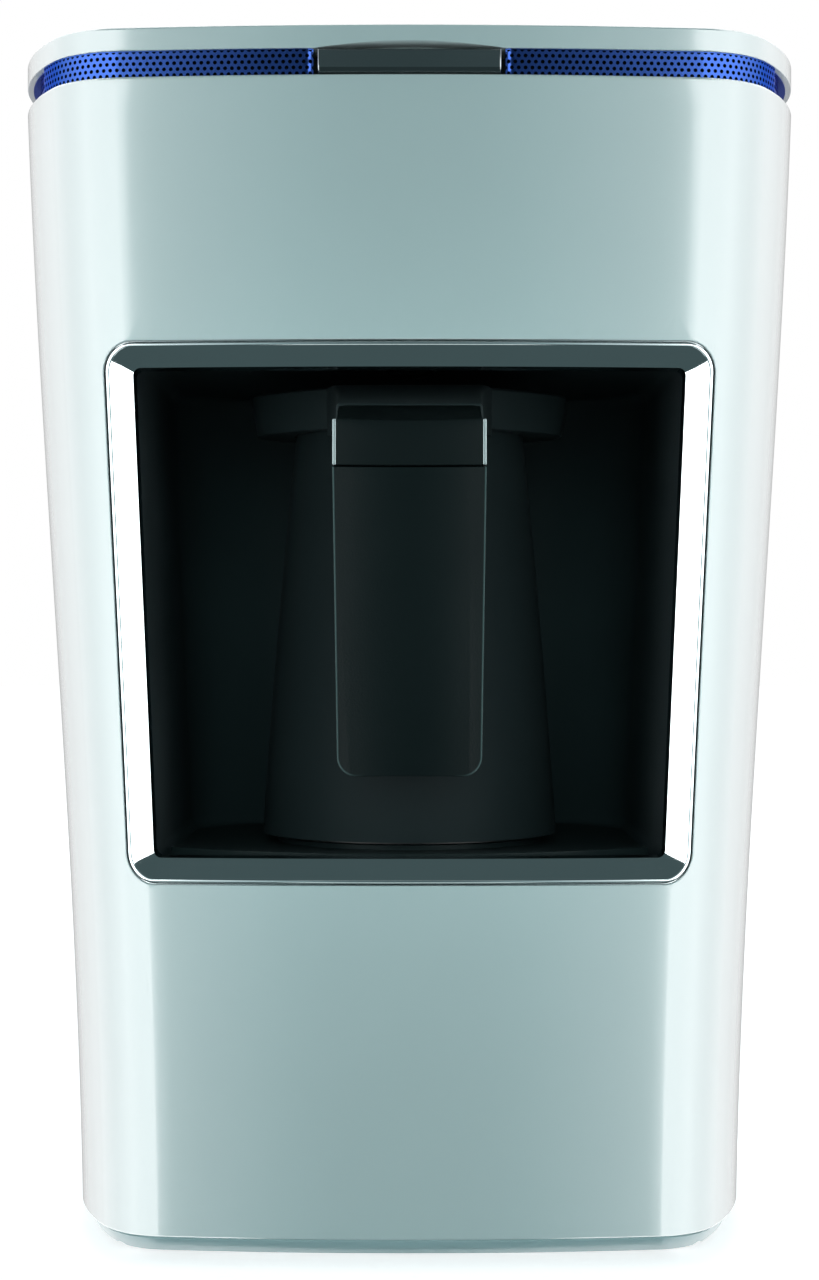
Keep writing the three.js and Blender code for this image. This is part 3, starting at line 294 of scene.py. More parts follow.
grey_plastic = look("moulded_grey_plastic", (0.47, 0.60, 0.62), 0.30, grain=2200, tint=0.02)
pan_profile = [(4.6, 2.4), (1.5, 2.4), (1.2, 2.1), (1.25, 1.9), (2.9, -0.6), (3.1, -0.72)]
pan_profile += [(3.4, -0.75), (5.2, -0.75), (5.6, 0), (12, 0)]
base_pan = drawn_out("base_pan_shell", [plan(*p) for p in pan_profile])
slot_half, slot_width, first_slot, slot_pitch = 24, 2.4, 76, 7
below_pan, above_pan = -2, 6
for i in range(6):
    y = first_slot + slot_pitch * i
    carve(base_pan, bar("air_slot", -slot_half, slot_half, y, y + slot_width, below_pan, above_pan))
corner_names = ("front_left", "front_right", "rear_left", "rear_right")
stem_hole, screw_hole, head_hole, head_seat = 3.1, 1.7, 3.3, 1.58
for name in corner_names:
    for node, radius, top in (
        ("foot_", stem_hole, above_pan),
        ("base_screw_", screw_hole, above_pan),
        ("base_screw_", head_hole, head_seat),
    ):
        x, y, z = middle_of(node + name)
        carve(base_pan, drawn_out("well", [disc(x, y, radius, h, 24) for h in (below_pan, top)]))
smooth(base_pan)
clothe(base_pan, grey_plastic)
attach(base_pan, "machine")
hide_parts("base_pan")

# Feet: four rubber buttons, moulded with a rounded edge and a stem pressed into the pan.
# The sole is slightly dished, so that each holds to the worktop.
foot_rubber = look("foot_rubber", (0.030, 0.031, 0.032), 0.85, grain=3000, relief=0.00006)
foot_profile = [(1.5, -2.6), (3.4, -2.65), (4.6, -2.8), (5.3, -2.8), (5.75, -2.6), (6, -2.1)]
foot_profile += [(6, -0.3), (5.6, 0), (2.8, 0), (2.8, 2.2), (1.2, 2.4)]
for name in corner_names:
    x, y, z = middle_of("foot_" + name)
    foot = drawn_out("foot_button_" + name, [disc(x, y, r, h) for r, h in foot_profile])
    smooth(foot)
    clothe(foot, foot_rubber)
    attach(foot, "machine")
    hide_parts("foot_" + name)

# Outer casing: one glossy white moulding with a crisp top edge, and a deck below the band.
# It tapers to the foot. The window in front and the opening at the rear have rounded edges.
white_plastic = look(
    "gloss_white_plastic", (0.80, 0.845, 0.85), 0.11, grain=420, relief=0.000008, vary=0.02,
    tint=0.008, lacquer=1.0,
)
corner_steps, edge_steps = 12, 24
window_half, window_bottom, window_top, window_corner = 64.6, 75.2, 185.6, 6
frame_gap, window_edge = 0.45, 0.22
wall, deck_inset, deck_thickness, rim_round = 2.4, 15, 3.5, 0.5


def front_depth(x):
    """How far the casing's front has bent back at x."""
    cx, cy, radius = plan_arcs()[0 if abs(x) <= front_half else 1][:3]
    side = min(abs(x) - cx, radius)
    return cy - math.sqrt(radius * radius - side * side)


def upright(half, bottom, top, radius, depth, bend=0):
    """A standing rounded rectangle, narrowed with the casing; bend 1 follows the casing's front."""
    corners = [
        (half - radius, bottom + radius, -math.pi / 2),
        (half - radius, top - radius, 0),
        (-half + radius, top - radius, math.pi / 2),
        (-half + radius, bottom + radius, math.pi),
    ]
    points = []
    for i, (cx, cz, start) in enumerate(corners):
        for k in range(corner_steps + 1):
            a = start + math.pi / 2 * k / corner_steps
            points.append((cx + radius * math.cos(a), cz + radius * math.sin(a)))
        nx, nz, following = corners[(i + 1) % 4]
        x0, z0 = points[-1]
        x1, z1 = nx + radius * math.cos(following), nz + radius * math.sin(following)
        for k in range(1, edge_steps):
            t = k / edge_steps
            points.append((x0 + (x1 - x0) * t, z0 + (z1 - z0) * t))
    return [at(x * width_share(z), depth + bend * front_depth(x), z) for x, z in points]


def rounded(radius, steps, turn=math.pi / 2):
    """Round an edge in even steps: how far it has drawn in, and how far it still runs on."""
    turns = [turn * k / steps for k in range(steps + 1)]
    return [(radius * (1 - math.cos(a)), radius * (1 - math.sin(a))) for a in turns]


def window_cut(name, half, bottom, top, radius, edge, depths, bend):
    """A tool that flares at the surface, so that the cut's edge comes out rounded.
    Its depths are those of its outer end, of the surface and of its inner end."""
    outer, surface, inner = depths
    loops = [upright(half + edge, bottom - edge, top + edge, radius + edge, outer, bend)]
    for sink, grow in rounded(edge, 4):
        depth = surface + (sink if bend else -sink)
        loops.append(upright(half + grow, bottom - grow, top + grow, radius + grow, depth, bend))
    loops.append(upright(half, bottom, top, radius, inner, bend))
    return drawn_out(name, loops)


shoulder = casing_top - rim_round
straight = [casing_foot + (shoulder - casing_foot) * i / 40 for i in range(41)]
casing_loops = [plan(1.6, casing_foot), plan(0.15, 2.75), plan(0, 2.95)]
casing_loops += [plan(0, z) for z in straight[1:]]
casing_loops += [plan(inset, casing_top - left) for inset, left in rounded(rim_round, 8)[1:]]
deck_bottom = casing_top - deck_thickness
casing_loops += [plan(deck_inset, casing_top), plan(deck_inset, deck_bottom), plan(wall, deck_bottom)]
casing_loops += [plan(wall, z) for z in straight[-6:0:-5]]
casing_loops += [plan(wall, casing_foot), plan(1.6, casing_foot)]
casing = drawn_out("casing_shell", casing_loops, "welded")
window_hole = (window_half + frame_gap, window_bottom - frame_gap, window_top + frame_gap)
hole_corner = window_corner + frame_gap
carve(casing, window_cut("window", *window_hole, hole_corner, window_edge, (-4, 0, 16), 1))
rear = (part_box("rear_cover")[1].y - casing_front) * 1000
carve(casing, window_cut("rear_window", 33, 14, 226, 6, 0.4, (rear + 4, rear, rear - 8), 0))
smooth(casing)
clothe(casing, white_plastic)
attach(casing, "machine")
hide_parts("outer_casing")

# Screws: zinc-plated, with a domed head and a cross recess. One is modelled and copied.
# Four hold the pan, four the rear cover, two the lid from below, and one the pot's handle.
plated_steel = look("plated_steel", (0.62, 0.63, 0.64), 0.28, 1.0, patch=400, grain=2500, tint=0.06)
head_height, packed_head = 1.28, 1.3


def cross_screw(name, length):
    """A screw that points down from the head's underside at height 0."""
    profile = [(0.4, head_height), (1.6, 1.2), (2.5, 0.9), (2.9, 0.5), (3, 0.1), (2.95, 0), (1.4, 0)]
    profile += [(1.4, -length + 1.5), (0.4, -length)]
    screw = drawn_out(name, [disc(0, 0, r, z, 28) for r, z in profile])
    for w, d in ((1.6, 0.35), (0.35, 1.6)):
        carve(screw, bar("recess", -w, w, -d, d, 0.45, 3))
    for vertex in screw.data.vertices:
        vertex.co.y -= casing_front
        vertex.co.z -= pan_underside
    smooth(screw)
    clothe(screw, plated_steel)
    return screw


pattern = {
    "base_screw_": cross_screw("base_pattern", 11),
    "cover_screw_": cross_screw("cover_pattern", 11),
}
pattern["handle_screw"] = pattern["cover_screw_"]
for node in sorted(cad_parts):
    kind = next((k for k in pattern if node.startswith(k)), None)
    if kind is None:
        continue
    corner_low, corner_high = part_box(node)
    middle = (corner_low + corner_high) / 2
    screw = bpy.data.objects.new(node + "_cross", pattern[kind].data.copy())
    bpy.context.scene.collection.objects.link(screw)
    for vertex in screw.data.vertices:
        x, y, z = vertex.co
        if kind == "base_screw_":
            vertex.co = (middle.x + x, middle.y - y, corner_low.z + head_height / 1000 - z)
        else:
            vertex.co = (middle.x + x, corner_high.y - packed_head / 1000 + z, middle.z - y)
    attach(screw, "pot" if node == "handle_screw" else "machine")
    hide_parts(node)
for screw in (pattern["base_screw_"], pattern["cover_screw_"]):
    bpy.data.objects.remove(screw)
for node in ("lid_screw_left", "lid_screw_right"):
    clothe(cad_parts[node], plated_steel)

# Rear cover: flat white plate in the casing's rear opening, with a flange behind the wall.
# Nine vent slots, four screw wells and the gland's hole go through it.
cover_inside, behind_cover, before_cover = rear - 4.5, rear + 4, rear - 9
cover_loops = [upright(32.55, 14.45, 225.55, 6, y) for y in (cover_inside, rear - 0.4)]
cover_loops += [upright(32.4, 14.6, 225.4, 5.85, rear - 0.1), upright(32.1, 14.9, 225.1, 5.6, rear)]
cover = drawn_out("rear_cover_plate", cover_loops)
flange_loops = [upright(37, 10, 230, 6, y) for y in (cover_inside, rear - 2.7)]
carve(cover, drawn_out("flange", flange_loops), "UNION")
vent_half, vent_round, first_vent, vent_pitch = 15.9, 1.1, 110.1, 5.6
for i in range(9):
    slot_loops = []
    for y in (before_cover, behind_cover):
        loop = []
        for side in (1, -1):
            for k in range(9):
                a = -math.pi / 2 + math.pi * k / 8 + (0 if side == 1 else math.pi)
                x, z = side * vent_half + vent_round * math.cos(a), vent_round * math.sin(a)
                loop.append(at(x, y, first_vent + vent_pitch * i + z))
        slot_loops.append(loop)
    carve(cover, drawn_out("vent_slot", slot_loops))


def lying(x, height, radius, depth, steps=48):
    """An upright circle that faces the back."""
    return [at(x + side, depth, height + up) for side, up in ring(radius, steps)]


cover_screws = sorted(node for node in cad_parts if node.startswith("cover_screw_"))
for node in cover_screws:
    x, y, z = middle_of(node)
    for radius, bottom in ((head_hole, rear - 1.6), (screw_hole, before_cover)):
        carve(cover, drawn_out("well", [lying(x, z, radius, y, 28) for y in (bottom, behind_cover)]))
gland_height, gland_hole = 26, 5.5
gland_bore = [lying(0, gland_height, gland_hole, y, 40) for y in (before_cover, behind_cover)]
carve(cover, drawn_out("well", gland_bore))
smooth(cover)
clothe(cover, white_plastic)
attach(cover, "machine")
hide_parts("rear_cover")

# Gland: black bushing in the cover's lowest hole, a turned shape with a tapered collar.
# A groove in it takes the plate's edge, and a thick ring holds it from inside.
black_plastic = look("moulded_black_plastic", (0.012, 0.016, 0.017), 0.42, grain=2600, tint=0.1)
gland_profile = [(3.6, -7.5), (8, -7.5), (8, -4.8), (5.2, -4.8), (5.2, 0.3), (7.8, 0.3), (8, 0.5)]
gland_profile += [(8, 1.7), (7.7, 2.1), (5.6, 4.7), (5.1, 5), (4.1, 5), (3.6, 4.6), (3.6, -7.5)]
gland_loops = [lying(0, gland_height, r, rear + y) for r, y in gland_profile]
gland = drawn_out("cord_gland_bushing", gland_loops, "welded")
smooth(gland)
clothe(gland, black_plastic)
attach(gland, "machine")
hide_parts("cord_gland")

# Window frame: zinc casting plated with dark chrome, a mirror finish on a wide chamfer.
# A flange behind the casing's wall clips it in; the inner edge stands against the liner.
mirror = dict(metal=1.0, relief=0.000004, vary=0.02, tint=0.03)
dark_chrome = look("dark_chrome", (0.46, 0.51, 0.52), 0.07, patch=60, grain=700, **mirror)
lip_depth = 9.5


def frame_loop(side, top, corner, y):
    """The frame's outline, moved in at its sides and at its top and bottom."""
    return upright(window_half - side, window_bottom + top, window_top - top, corner, y, 1)


chamfer_side, chamfer_top, chamfer_depth = 5.6, 4.8, 3.1
outer_round, ridge = 0.3, 1.1
frame_profile = []
for grow, y in rounded(outer_round, 3):
    frame_profile.append((grow, grow, window_corner - grow, y))
for y, left in rounded(ridge, 6, math.radians(36))[1:]:
    grow = outer_round + ridge - left
    frame_profile.append((grow, grow, window_corner - grow, y))
mouth = (chamfer_side + 0.06, chamfer_top + 0.06, 1.65)
flange_edge, flange_depth = (-3, -3, window_corner + 3), 3.4
frame_profile += [(chamfer_side, chamfer_top, 1.7, chamfer_depth), (*mouth, chamfer_depth + 0.2)]
frame_profile += [(*mouth, lip_depth), (*flange_edge, lip_depth), (*flange_edge, flange_depth)]
frame_profile += [(0, 0, window_corner, y) for y in (flange_depth, outer_round)]
window_frame = drawn_out("window_frame_chrome", [frame_loop(*p) for p in frame_profile], "welded")
smooth(window_frame, 28)
clothe(window_frame, dark_chrome)
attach(window_frame, "machine")
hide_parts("window_frame")

# Cavity liner: black shell behind the frame, with a rounded back that meets the sides softly.
# Four posts behind it take the cover's screws; lens and wires pass through two holes.
liner_black = look("liner_black", (0.035, 0.047, 0.050), 0.45, grain=1800, tint=0.1, shine=0.15)
cavity_half, cavity_floor, cavity_ceiling = 60.5, 77.95, 186.15
rear_round, liner_wall, rear_start = 25, 1.8, 103
pot_axis, pin_height = 62, 86.95


def liner_loop(grow, y, bend, turn):
    """The liner's outline at a depth; a turn above 0 draws its sides in round the rear corners."""
    half = cavity_half + grow - (rear_round + grow) * (1 - math.cos(turn))
    return upright(half, cavity_floor - grow, cavity_ceiling + grow, 3 + grow, y, bend)


quarter = [math.pi / 2 * k / 12 for k in range(13)]
liner_loops = [liner_loop(0, rear_start + rear_round * math.sin(a), 0, a) for a in quarter[::-1]]
liner_loops += [liner_loop(grow, lip_depth + 0.8, 1, 0) for grow in (0, liner_wall)]
outside_round = rear_round + liner_wall
for a in quarter:
    liner_loops.append(liner_loop(liner_wall, rear_start + outside_round * math.sin(a), 0, a))
liner = drawn_out("cavity_liner_shell", liner_loops)
post_radius, post_foot, post_top, well_bottom = 4.2, 129, rear - 4.8, rear - 15.8
for node in cover_screws:
    x, y, z = middle_of(node)
    post = drawn_out("post", [lying(x, z, post_radius, y, 24) for y in (post_foot, post_top)])
    carve(liner, post, "UNION")
    carve(liner, drawn_out("well", [lying(x, z, screw_hole, y, 24) for y in (well_bottom, rear)]))
carve(liner, drawn_out("lens_hole", [disc(0, pot_axis, 6.3, z) for z in (181, 193)]))
carve(liner, drawn_out("wire_hole", [lying(0, pin_height, 5, y) for y in (123, 135)]))
smooth(liner)
clothe(liner, liner_black)
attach(liner, "machine")
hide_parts("cavity_liner")

# Dock: gloss tray with a curved front lip and a round seat, and the connector housing behind.
# Both are black mouldings; their edges are softened by the mould.
moulded = dict(grain=900, relief=0.000008, tint=0.08)
black_gloss = look("black_gloss", (0.010, 0.014, 0.0145), 0.16, shine=0.09, **moulded)
dock_black = look("dock_black", (0.022, 0.030, 0.031), 0.38, shine=0.05, **moulded)


def copied(node, name):
    """A piece on a CAD node's own shape, merged into whole faces."""
    piece = bpy.data.objects.new(name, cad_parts[node].data.copy())
    bpy.context.scene.collection.objects.link(piece)
    edit(piece)
    bpy.ops.mesh.customdata_custom_splitnormals_clear()
    bpy.ops.mesh.remove_doubles(threshold=2e-6)
    bpy.ops.mesh.dissolve_limited(angle_limit=math.radians(0.8))
    bpy.ops.object.mode_set(mode="OBJECT")
    return piece


def settled(piece):
    """Rounded edges shade smoothly, and the flat faces beside them stay flat."""
    smooth(piece)
    shading = added(piece, "WEIGHTED_NORMAL")
    shading.keep_sharp = True
    bpy.ops.object.modifier_apply(modifier=shading.name)


def softened(node, name, radius, steps=2):
    """A copied piece with its sharp edges rounded."""
    piece = copied(node, name)
    edge = added(piece, "BEVEL")
    edge.width = radius / 1000
    edge.segments = steps
    edge.limit_method = "ANGLE"
    edge.angle_limit = math.radians(30)
    bpy.ops.object.modifier_apply(modifier=edge.name)
    settled(piece)
    return piece


for node, name, radius, finish, slot in (
    ("dock_tray", "dock_tray_gloss", 0.25, dock_black, "black_gloss"),
    ("dock_housing", "dock_housing_soft", 0.5, black_plastic, "black_plastic"),
):
    piece = softened(node, name, radius)
    clothe(piece, finish)
    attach(piece, "machine")
    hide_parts(node)

# Contact pins: three turned brass pins with rounded tips, fixed in the housing.
# They stand in a row across the back of the cavity and meet the pot's socket.
pin_brass = look("pin_brass", (0.60, 0.42, 0.17), 0.22, 1.0, patch=300, grain=1500)
for side in ("left", "middle", "right"):
    x, y, z = middle_of("contact_pin_" + side)
    tip, end = ((corner.y - casing_front) * 1000 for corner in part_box("contact_pin_" + side))
    profile = [(0.25, tip), (0.7, tip + 0.15), (1.0, tip + 0.5), (1.1, tip + 1), (1.1, end - 0.2)]
    pin_loops = [lying(x, pin_height, r, y, 20) for r, y in profile + [(0.9, end)]]
    pin = drawn_out("contact_pin_turned_" + side, pin_loops)
    smooth(pin)
    clothe(pin, pin_brass)
    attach(pin, "machine")
    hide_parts("contact_pin_" + side)

# Foam sensor: dark gloss lens with a shallow dome, clipped into the cavity's ceiling.
# The housing and the board above it stay as packed.
lens_profile = [(0.6, 184.6), (2.6, 184.75), (4, 185.2), (5.2, 185.8), (6, 186.4), (6, 187.6)]
lens = drawn_out("sensor_lens_dome", [disc(0, pot_axis, r, z) for r, z in lens_profile])
smooth(lens)
clothe(lens, black_gloss)
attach(lens, "machine")
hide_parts("sensor_lens")

# Works inside the closed casing: boards, transformer, relay, capacitor, terminals, button works.
# They are bought parts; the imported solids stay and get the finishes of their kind.
board_green = look("board_green", (0.028, 0.15, 0.06), 0.45, patch=260, grain=1400, tint=0.25)
part_black = look("part_black", (0.017, 0.020, 0.023), 0.5, grain=2400)
winding_tape = look("winding_tape", (0.58, 0.38, 0.04), 0.5, patch=120, grain=700)
red_silicone = look("red_silicone", (0.26, 0.042, 0.033), 0.6, grain=1500)
clear_plastic = look("clear_plastic", (0.70, 0.76, 0.78), 0.12, tint=0.03)
for finish, kept_nodes in (
    (black_plastic, ("sensor_housing", "button_guide")),
    (board_green, ("sensor_board", "main_board", "button_board")),
    (part_black, ("relay", "capacitor", "tact_switch", "buzzer")),
    (winding_tape, ("transformer",)),
    (clear_plastic, ("terminal_block", "light_guide_left", "light_guide_right")),
    (red_silicone, ("switch_plunger", "pot_seal")),
):
    for node in kept_nodes:
        clothe(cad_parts[node], finish)

# Perforated band: thin anodised sheet, punched with staggered holes and wrapped round the deck.
# It lies flush in front and steps back at the sides. Its ends turn in beside the button, and a
# black strip behind it is painted shade: it makes the holes dark, as if the inside lay in shadow.
band_end, band_turn_in = 19.6, 2.0
band_front_inset, band_side_inset, band_step_depth = 0.45, 2.8, 18.6
band_metal = look(
    "anodised_blue_sheet", (0.018, 0.044, 0.17), 0.14, 1.0, patch=90, grain=1600, relief=0.00001,
    tint=0.06, edge=(0.45, 0.5, 0.95),
)
hole_pitch, hole_radius, row_rise = 1.40, 0.42, 1.212
band_middle, band_half_height = 242.65, 2.62
band_low, band_high = 240.05, 245.25
strip_front, strip_behind, sheet_thickness = 0.52, 1.35, 0.5
bend_turn = math.radians(44)


def band_path(behind):
    """The band's line in plan from one side of the button round to the other, as small steps."""
    half = []
    for x, y, radius, start, end in plan_arcs():
        steps = max(int((end - start) * radius / 0.5), 8)
        for k in range(steps):
            a = start + (end - start) * k / steps
            outer_depth = y - radius * math.cos(a)
            stepped = min(max((outer_depth - band_step_depth) / 0.6, 0), 1)
            inset = band_front_inset + (band_side_inset - band_front_inset) * stepped + behind
            half.append(on_arc(x, y, radius - inset, a))
    bend_x = band_end + band_turn_in * math.sin(bend_turn)
    half = [p for p in half if p[0] > bend_x or p[1] > 20]
    x, y, radius = plan_arcs()[-1][:3]
    half.append((0, y + radius - band_side_inset - behind))
    bend_radius = plan_radii[0] - band_front_inset - behind
    bend_depth = plan_arcs()[0][1] - math.sqrt(bend_radius**2 - bend_x**2)
    turned_in = rounded(band_turn_in, 8, bend_turn)
    bend = [(bend_x - band_turn_in + left, bend_depth + sink) for sink, left in turned_in]
    half = bend[::-1] + half
    return half + [(-px, py) for px, py in half[-2::-1]]


def run_of(path):
    """The length along a path up to each of its points."""
    run = [0]
    for (x0, y0), (x1, y1) in zip(path, path[1:]):
        run.append(run[-1] + math.hypot(x1 - x0, y1 - y0))
    return run


def on_path(path, run, s):
    """The point that lies a length s along the path."""
    s = min(max(s, 0), run[-1])
    i = min(max(bisect.bisect_right(run, s) - 1, 0), len(path) - 2)
    t = (s - run[i]) / (run[i + 1] - run[i])
    return tuple(a + (b - a) * t for a, b in zip(path[i], path[i + 1]))


path = band_path(0)
run = run_of(path)
columns = round(run[-1] / hole_pitch)
pitch = run[-1] / columns
first_hole = (-2.5 * pitch, 0, -2 * row_rise)
bpy.ops.mesh.primitive_circle_add(
    vertices=8, radius=hole_radius, location=first_hole, rotation=(math.pi / 2, 0, 0)
)
band_sheet = bpy.context.object
band_sheet.name = band_sheet.data.name = "vent_band_sheet"
bpy.ops.object.transform_apply(location=False)
edit(band_sheet)
bpy.ops.mesh.extrude_edges_indiv()
mesh = bmesh.from_edit_mesh(band_sheet.data)
for vertex in mesh.verts:
    if vertex.select:
        x, z = vertex.co.x / hole_radius, vertex.co.z / hole_radius
        vertex.co.x = math.copysign(pitch / 2, x) if abs(x) > 0.1 else 0
        vertex.co.z = math.copysign(row_rise / 2, z) if abs(z) > 0.1 else 0
bmesh.update_edit_mesh(band_sheet.data)
bpy.ops.object.mode_set(mode="OBJECT")
for count, offset in ((columns + 4, (pitch, 0, 0)), (5, (pitch / 2, 0, row_rise))):
    rank = added(band_sheet, "ARRAY")
    rank.count = count
    rank.use_relative_offset = False
    rank.use_constant_offset = True
    rank.constant_offset_displace = offset
    bpy.ops.object.modifier_apply(modifier=rank.name)
bpy.ops.object.transform_apply()
edit(band_sheet)
for place, way in (
    ((0, 0, -band_half_height), (0, 0, -1)),
    ((0, 0, band_half_height), (0, 0, 1)),
    ((0.001, 0, 0), (-1, 0, 0)),
    ((run[-1] - 0.001, 0, 0), (1, 0, 0)),
):
    bpy.ops.mesh.select_all(action="SELECT")
    bpy.ops.mesh.bisect(plane_co=place, plane_no=way, clear_outer=True)
bpy.ops.mesh.select_all(action="SELECT")
bpy.ops.mesh.remove_doubles(threshold=0.001)
bpy.ops.object.mode_set(mode="OBJECT")
for vertex in band_sheet.data.vertices:
    x, y = on_path(path, run, vertex.co.x)
    vertex.co = at(x, y, band_middle + vertex.co.z)
edit(band_sheet)
bpy.ops.mesh.normals_make_consistent(inside=False)
bpy.ops.object.mode_set(mode="OBJECT")
facing = sum(p.normal.y * p.area for p in band_sheet.data.polygons if p.center.y < casing_front + 0.01)
if facing > 0:
    band_sheet.data.flip_normals()
thickening = added(band_sheet, "SOLIDIFY")
thickening.thickness = sheet_thickness / 1000
thickening.offset = -1
bpy.ops.object.modifier_apply(modifier=thickening.name)
smooth(band_sheet, 35)
clothe(band_sheet, band_metal)

# Painted shade: a near-black strip behind the sheet stands for the shadow inside the holes.
backing_black = look("backing_black", (0.002, 0.0025, 0.003), 0.8, grain=1800, shine=0.02)
inner_path, outer_path = band_path(strip_behind), band_path(strip_front)
hole_shade_loops = []
for i in range(0, len(inner_path), 3):
    a, b = outer_path[i], inner_path[i]
    hole_shade_loops.append([at(*a, band_low), at(*a, band_high), at(*b, band_high), at(*b, band_low)])
band_hole_shade = drawn_out("vent_band_backing", hole_shade_loops)
smooth(band_hole_shade)
clothe(band_hole_shade, backing_black)
flange_loops = []
flange_low, flange_high, side_reach, front_reach = 245.08, 245.24, 1.5, 0.1
for i in range(0, len(inner_path), 2):
    (ax, ay), root = path[i], outer_path[i]
    reach = (side_reach if ay > band_step_depth + 1 else front_reach) / strip_front
    tip = (ax + (ax - root[0]) * reach, ay + (ay - root[1]) * reach)
    section = ((tip, flange_low), (tip, flange_high), (root, flange_high), (root, flange_low))
    flange_loops.append([at(*point, z) for point, z in section])
band_flange = drawn_out("vent_band_flange", flange_loops)
smooth(band_flange)
clothe(band_flange, band_metal)
for piece, slot in (
    (band_sheet, "blue_metal"),
    (band_flange, "blue_metal"),
    (band_hole_shade, "black_plastic"),
):
    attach(piece, "machine")
    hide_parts("vent_band")

# Start button: dark chromed bar in the band's gap, with a rounded outline and a strip cut below.
# Behind it a stem works the switch, and two pegs run in the guide.
button_chrome = look("button_chrome", (0.155, 0.172, 0.176), 0.08, patch=80, grain=800, **mirror)
button_edge, edge_reach, strip_height = 0.00034, 0.001, 0.002
button = copied("start_button", "start_button_bar")
face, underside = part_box("start_button")[0].y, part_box("start_button")[0].z
bpy.ops.object.mode_set(mode="EDIT")
bpy.ops.mesh.select_mode(type="EDGE")
bpy.ops.mesh.select_all(action="DESELECT")
mesh = bmesh.from_edit_mesh(button.data)
for edge in mesh.edges:
    a, b = (vertex.co for vertex in edge.verts)
    in_front = max(a.y, b.y) < face + edge_reach
    strip_line = max(a.y, b.y) < face + 0.0001 and max(a.z, b.z) < underside + strip_height
    edge.select_set(in_front and not strip_line)
bmesh.update_edit_mesh(button.data)
bpy.ops.mesh.bevel(offset=button_edge, segments=3, affect="EDGES")
bpy.ops.object.mode_set(mode="OBJECT")
settled(button)
clothe(button, button_chrome)
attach(button, "button")
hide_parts("start_button")

# Top lid: flat white slab with rounded edges and a shallow scoop above the button.
# A skirt below it finds the band, and two bosses take the lid's screws.
lid_bottom, lid_top, lid_edge, lid_hold = 245.3, 250, 0.2, 0.45
skirt_inner, skirt_outer, skirt_bottom, notch_half = 7.8, 6, 241.7, 27
lid_loops = [plan(skirt_inner, 245.4), plan(skirt_inner, skirt_bottom)]
lid_loops += [plan(skirt_outer, skirt_bottom), plan(skirt_outer, lid_bottom)]
rounding = rounded(lid_edge, 4) + [(lid_hold, 0)]
lid_loops += [plan(inset, lid_bottom + z) for z, inset in rounding]
lid_loops += [plan(inset, lid_top - z) for z, inset in reversed(rounding)]
lid_loops.append(plan(9, lid_top))
lid = drawn_out("top_lid_slab", lid_loops)
carve(lid, bar("notch", -notch_half, notch_half, -5, 40, 238, lid_bottom))
scoop_half, scoop_rise = 19.5, 0.85
scoop_loops = []
for y, flare in ((-5, 3), (0, 3), (0.25, 2.1), (0.7, 1.2), (1.4, 0.5), (2.4, 0), (6, 0)):
    loop = []
    for k in range(49):
        x = scoop_half * (k / 24 - 1)
        arch = (scoop_rise + 0.22 * flare) * (1 - (x / scoop_half) ** 2)
        loop.append(at(x, y, lid_bottom + arch))
    loop += [at(scoop_half, y, 240), at(-scoop_half, y, 240)]
    scoop_loops.append(loop)
carve(lid, drawn_out("scoop", scoop_loops))
for node in ("lid_screw_left", "lid_screw_right"):
    x, y, z = middle_of(node)
    carve(lid, drawn_out("boss", [disc(x, y, 3.6, z, 24) for z in (240.3, 246)]), "UNION")
    carve(lid, drawn_out("well", [disc(x, y, screw_hole, z, 24) for z in (236, 246.5)]))
smooth(lid)
clothe(lid, white_plastic)
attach(lid, "machine")
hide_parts("top_lid")

# Pot body: deep-drawn steel cup, dark coated outside and in, wider at the foot.
# It is cut out at the back for the socket, and its skirt hides the heater.
pot_metal = look(
    "dark_coated_steel", (0.0245, 0.0325, 0.0345), 0.6, patch=50, grain=1100, tint=0.08, shine=0.05
)
pot_steps = 96
pot_bottom, collar_bottom = 80.65, 171.15
bottom_radius, top_radius, bulge, pot_wall, floor_round = 33.5, 25.9, 0.4, 0.9, 3


def pot_radius(height):
    """The slightly bulging cone that the pot is drawn to."""
    t = (height - pot_bottom) / (collar_bottom - pot_bottom)
    return bottom_radius + (top_radius - bottom_radius) * t + bulge * 4 * t * (1 - t)


skirt_edge, rim, floor_under, floor = 81.15, 175.95, 92.15, 93.05
skirt_inside = [(pot_radius(z) - pot_wall, z) for z in (floor_under, skirt_edge)]
pot_profile = [(pot_radius(floor_under) - 5, floor_under), *skirt_inside]
pot_profile.append((pot_radius(skirt_edge), skirt_edge))
for k in range(1, 13):
    z = skirt_edge + (rim - skirt_edge) * k / 12
    pot_profile.append((pot_radius(z), z))
for k in range(12, -1, -1):
    z = floor + floor_round + (rim - floor - floor_round) * k / 12
    pot_profile.append((pot_radius(z) - pot_wall, z))
for inset, left in rounded(floor_round, 6)[1:]:
    pot_profile.append((pot_radius(floor) - pot_wall - inset, floor + left))
pot_profile += [(20, floor), (6, floor)]
pot_body = drawn_out("pot_body_cup", [disc(0, pot_axis, r, z, pot_steps) for r, z in pot_profile])
carve(pot_body, bar("socket_cut", -9.8, 9.8, 84.4, 102, 76, 92))
smooth(pot_body)
clothe(pot_body, pot_metal)
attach(pot_body, "pot")
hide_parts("pot_body")

# Collar: black moulding pressed over the pot's rim, with a pouring beak on each side.
# Its neck runs forward to the handle, and swells where it leaves the ring.
collar_black = look("collar_black", (0.028, 0.037, 0.039), 0.45, grain=2000, tint=0.08, shine=0.08)
beak_sharpness = 8


def collar_loop(beak, side, height):
    """A level ring that reaches out to a beak on each side."""
    loop = []
    for k in range(pot_steps):
        a = 2 * math.pi * k / pot_steps
        r = side + (beak - side) * abs(math.cos(a)) ** beak_sharpness
        loop.append(at(r * math.cos(a), pot_axis + r * math.sin(a), height))
    return loop


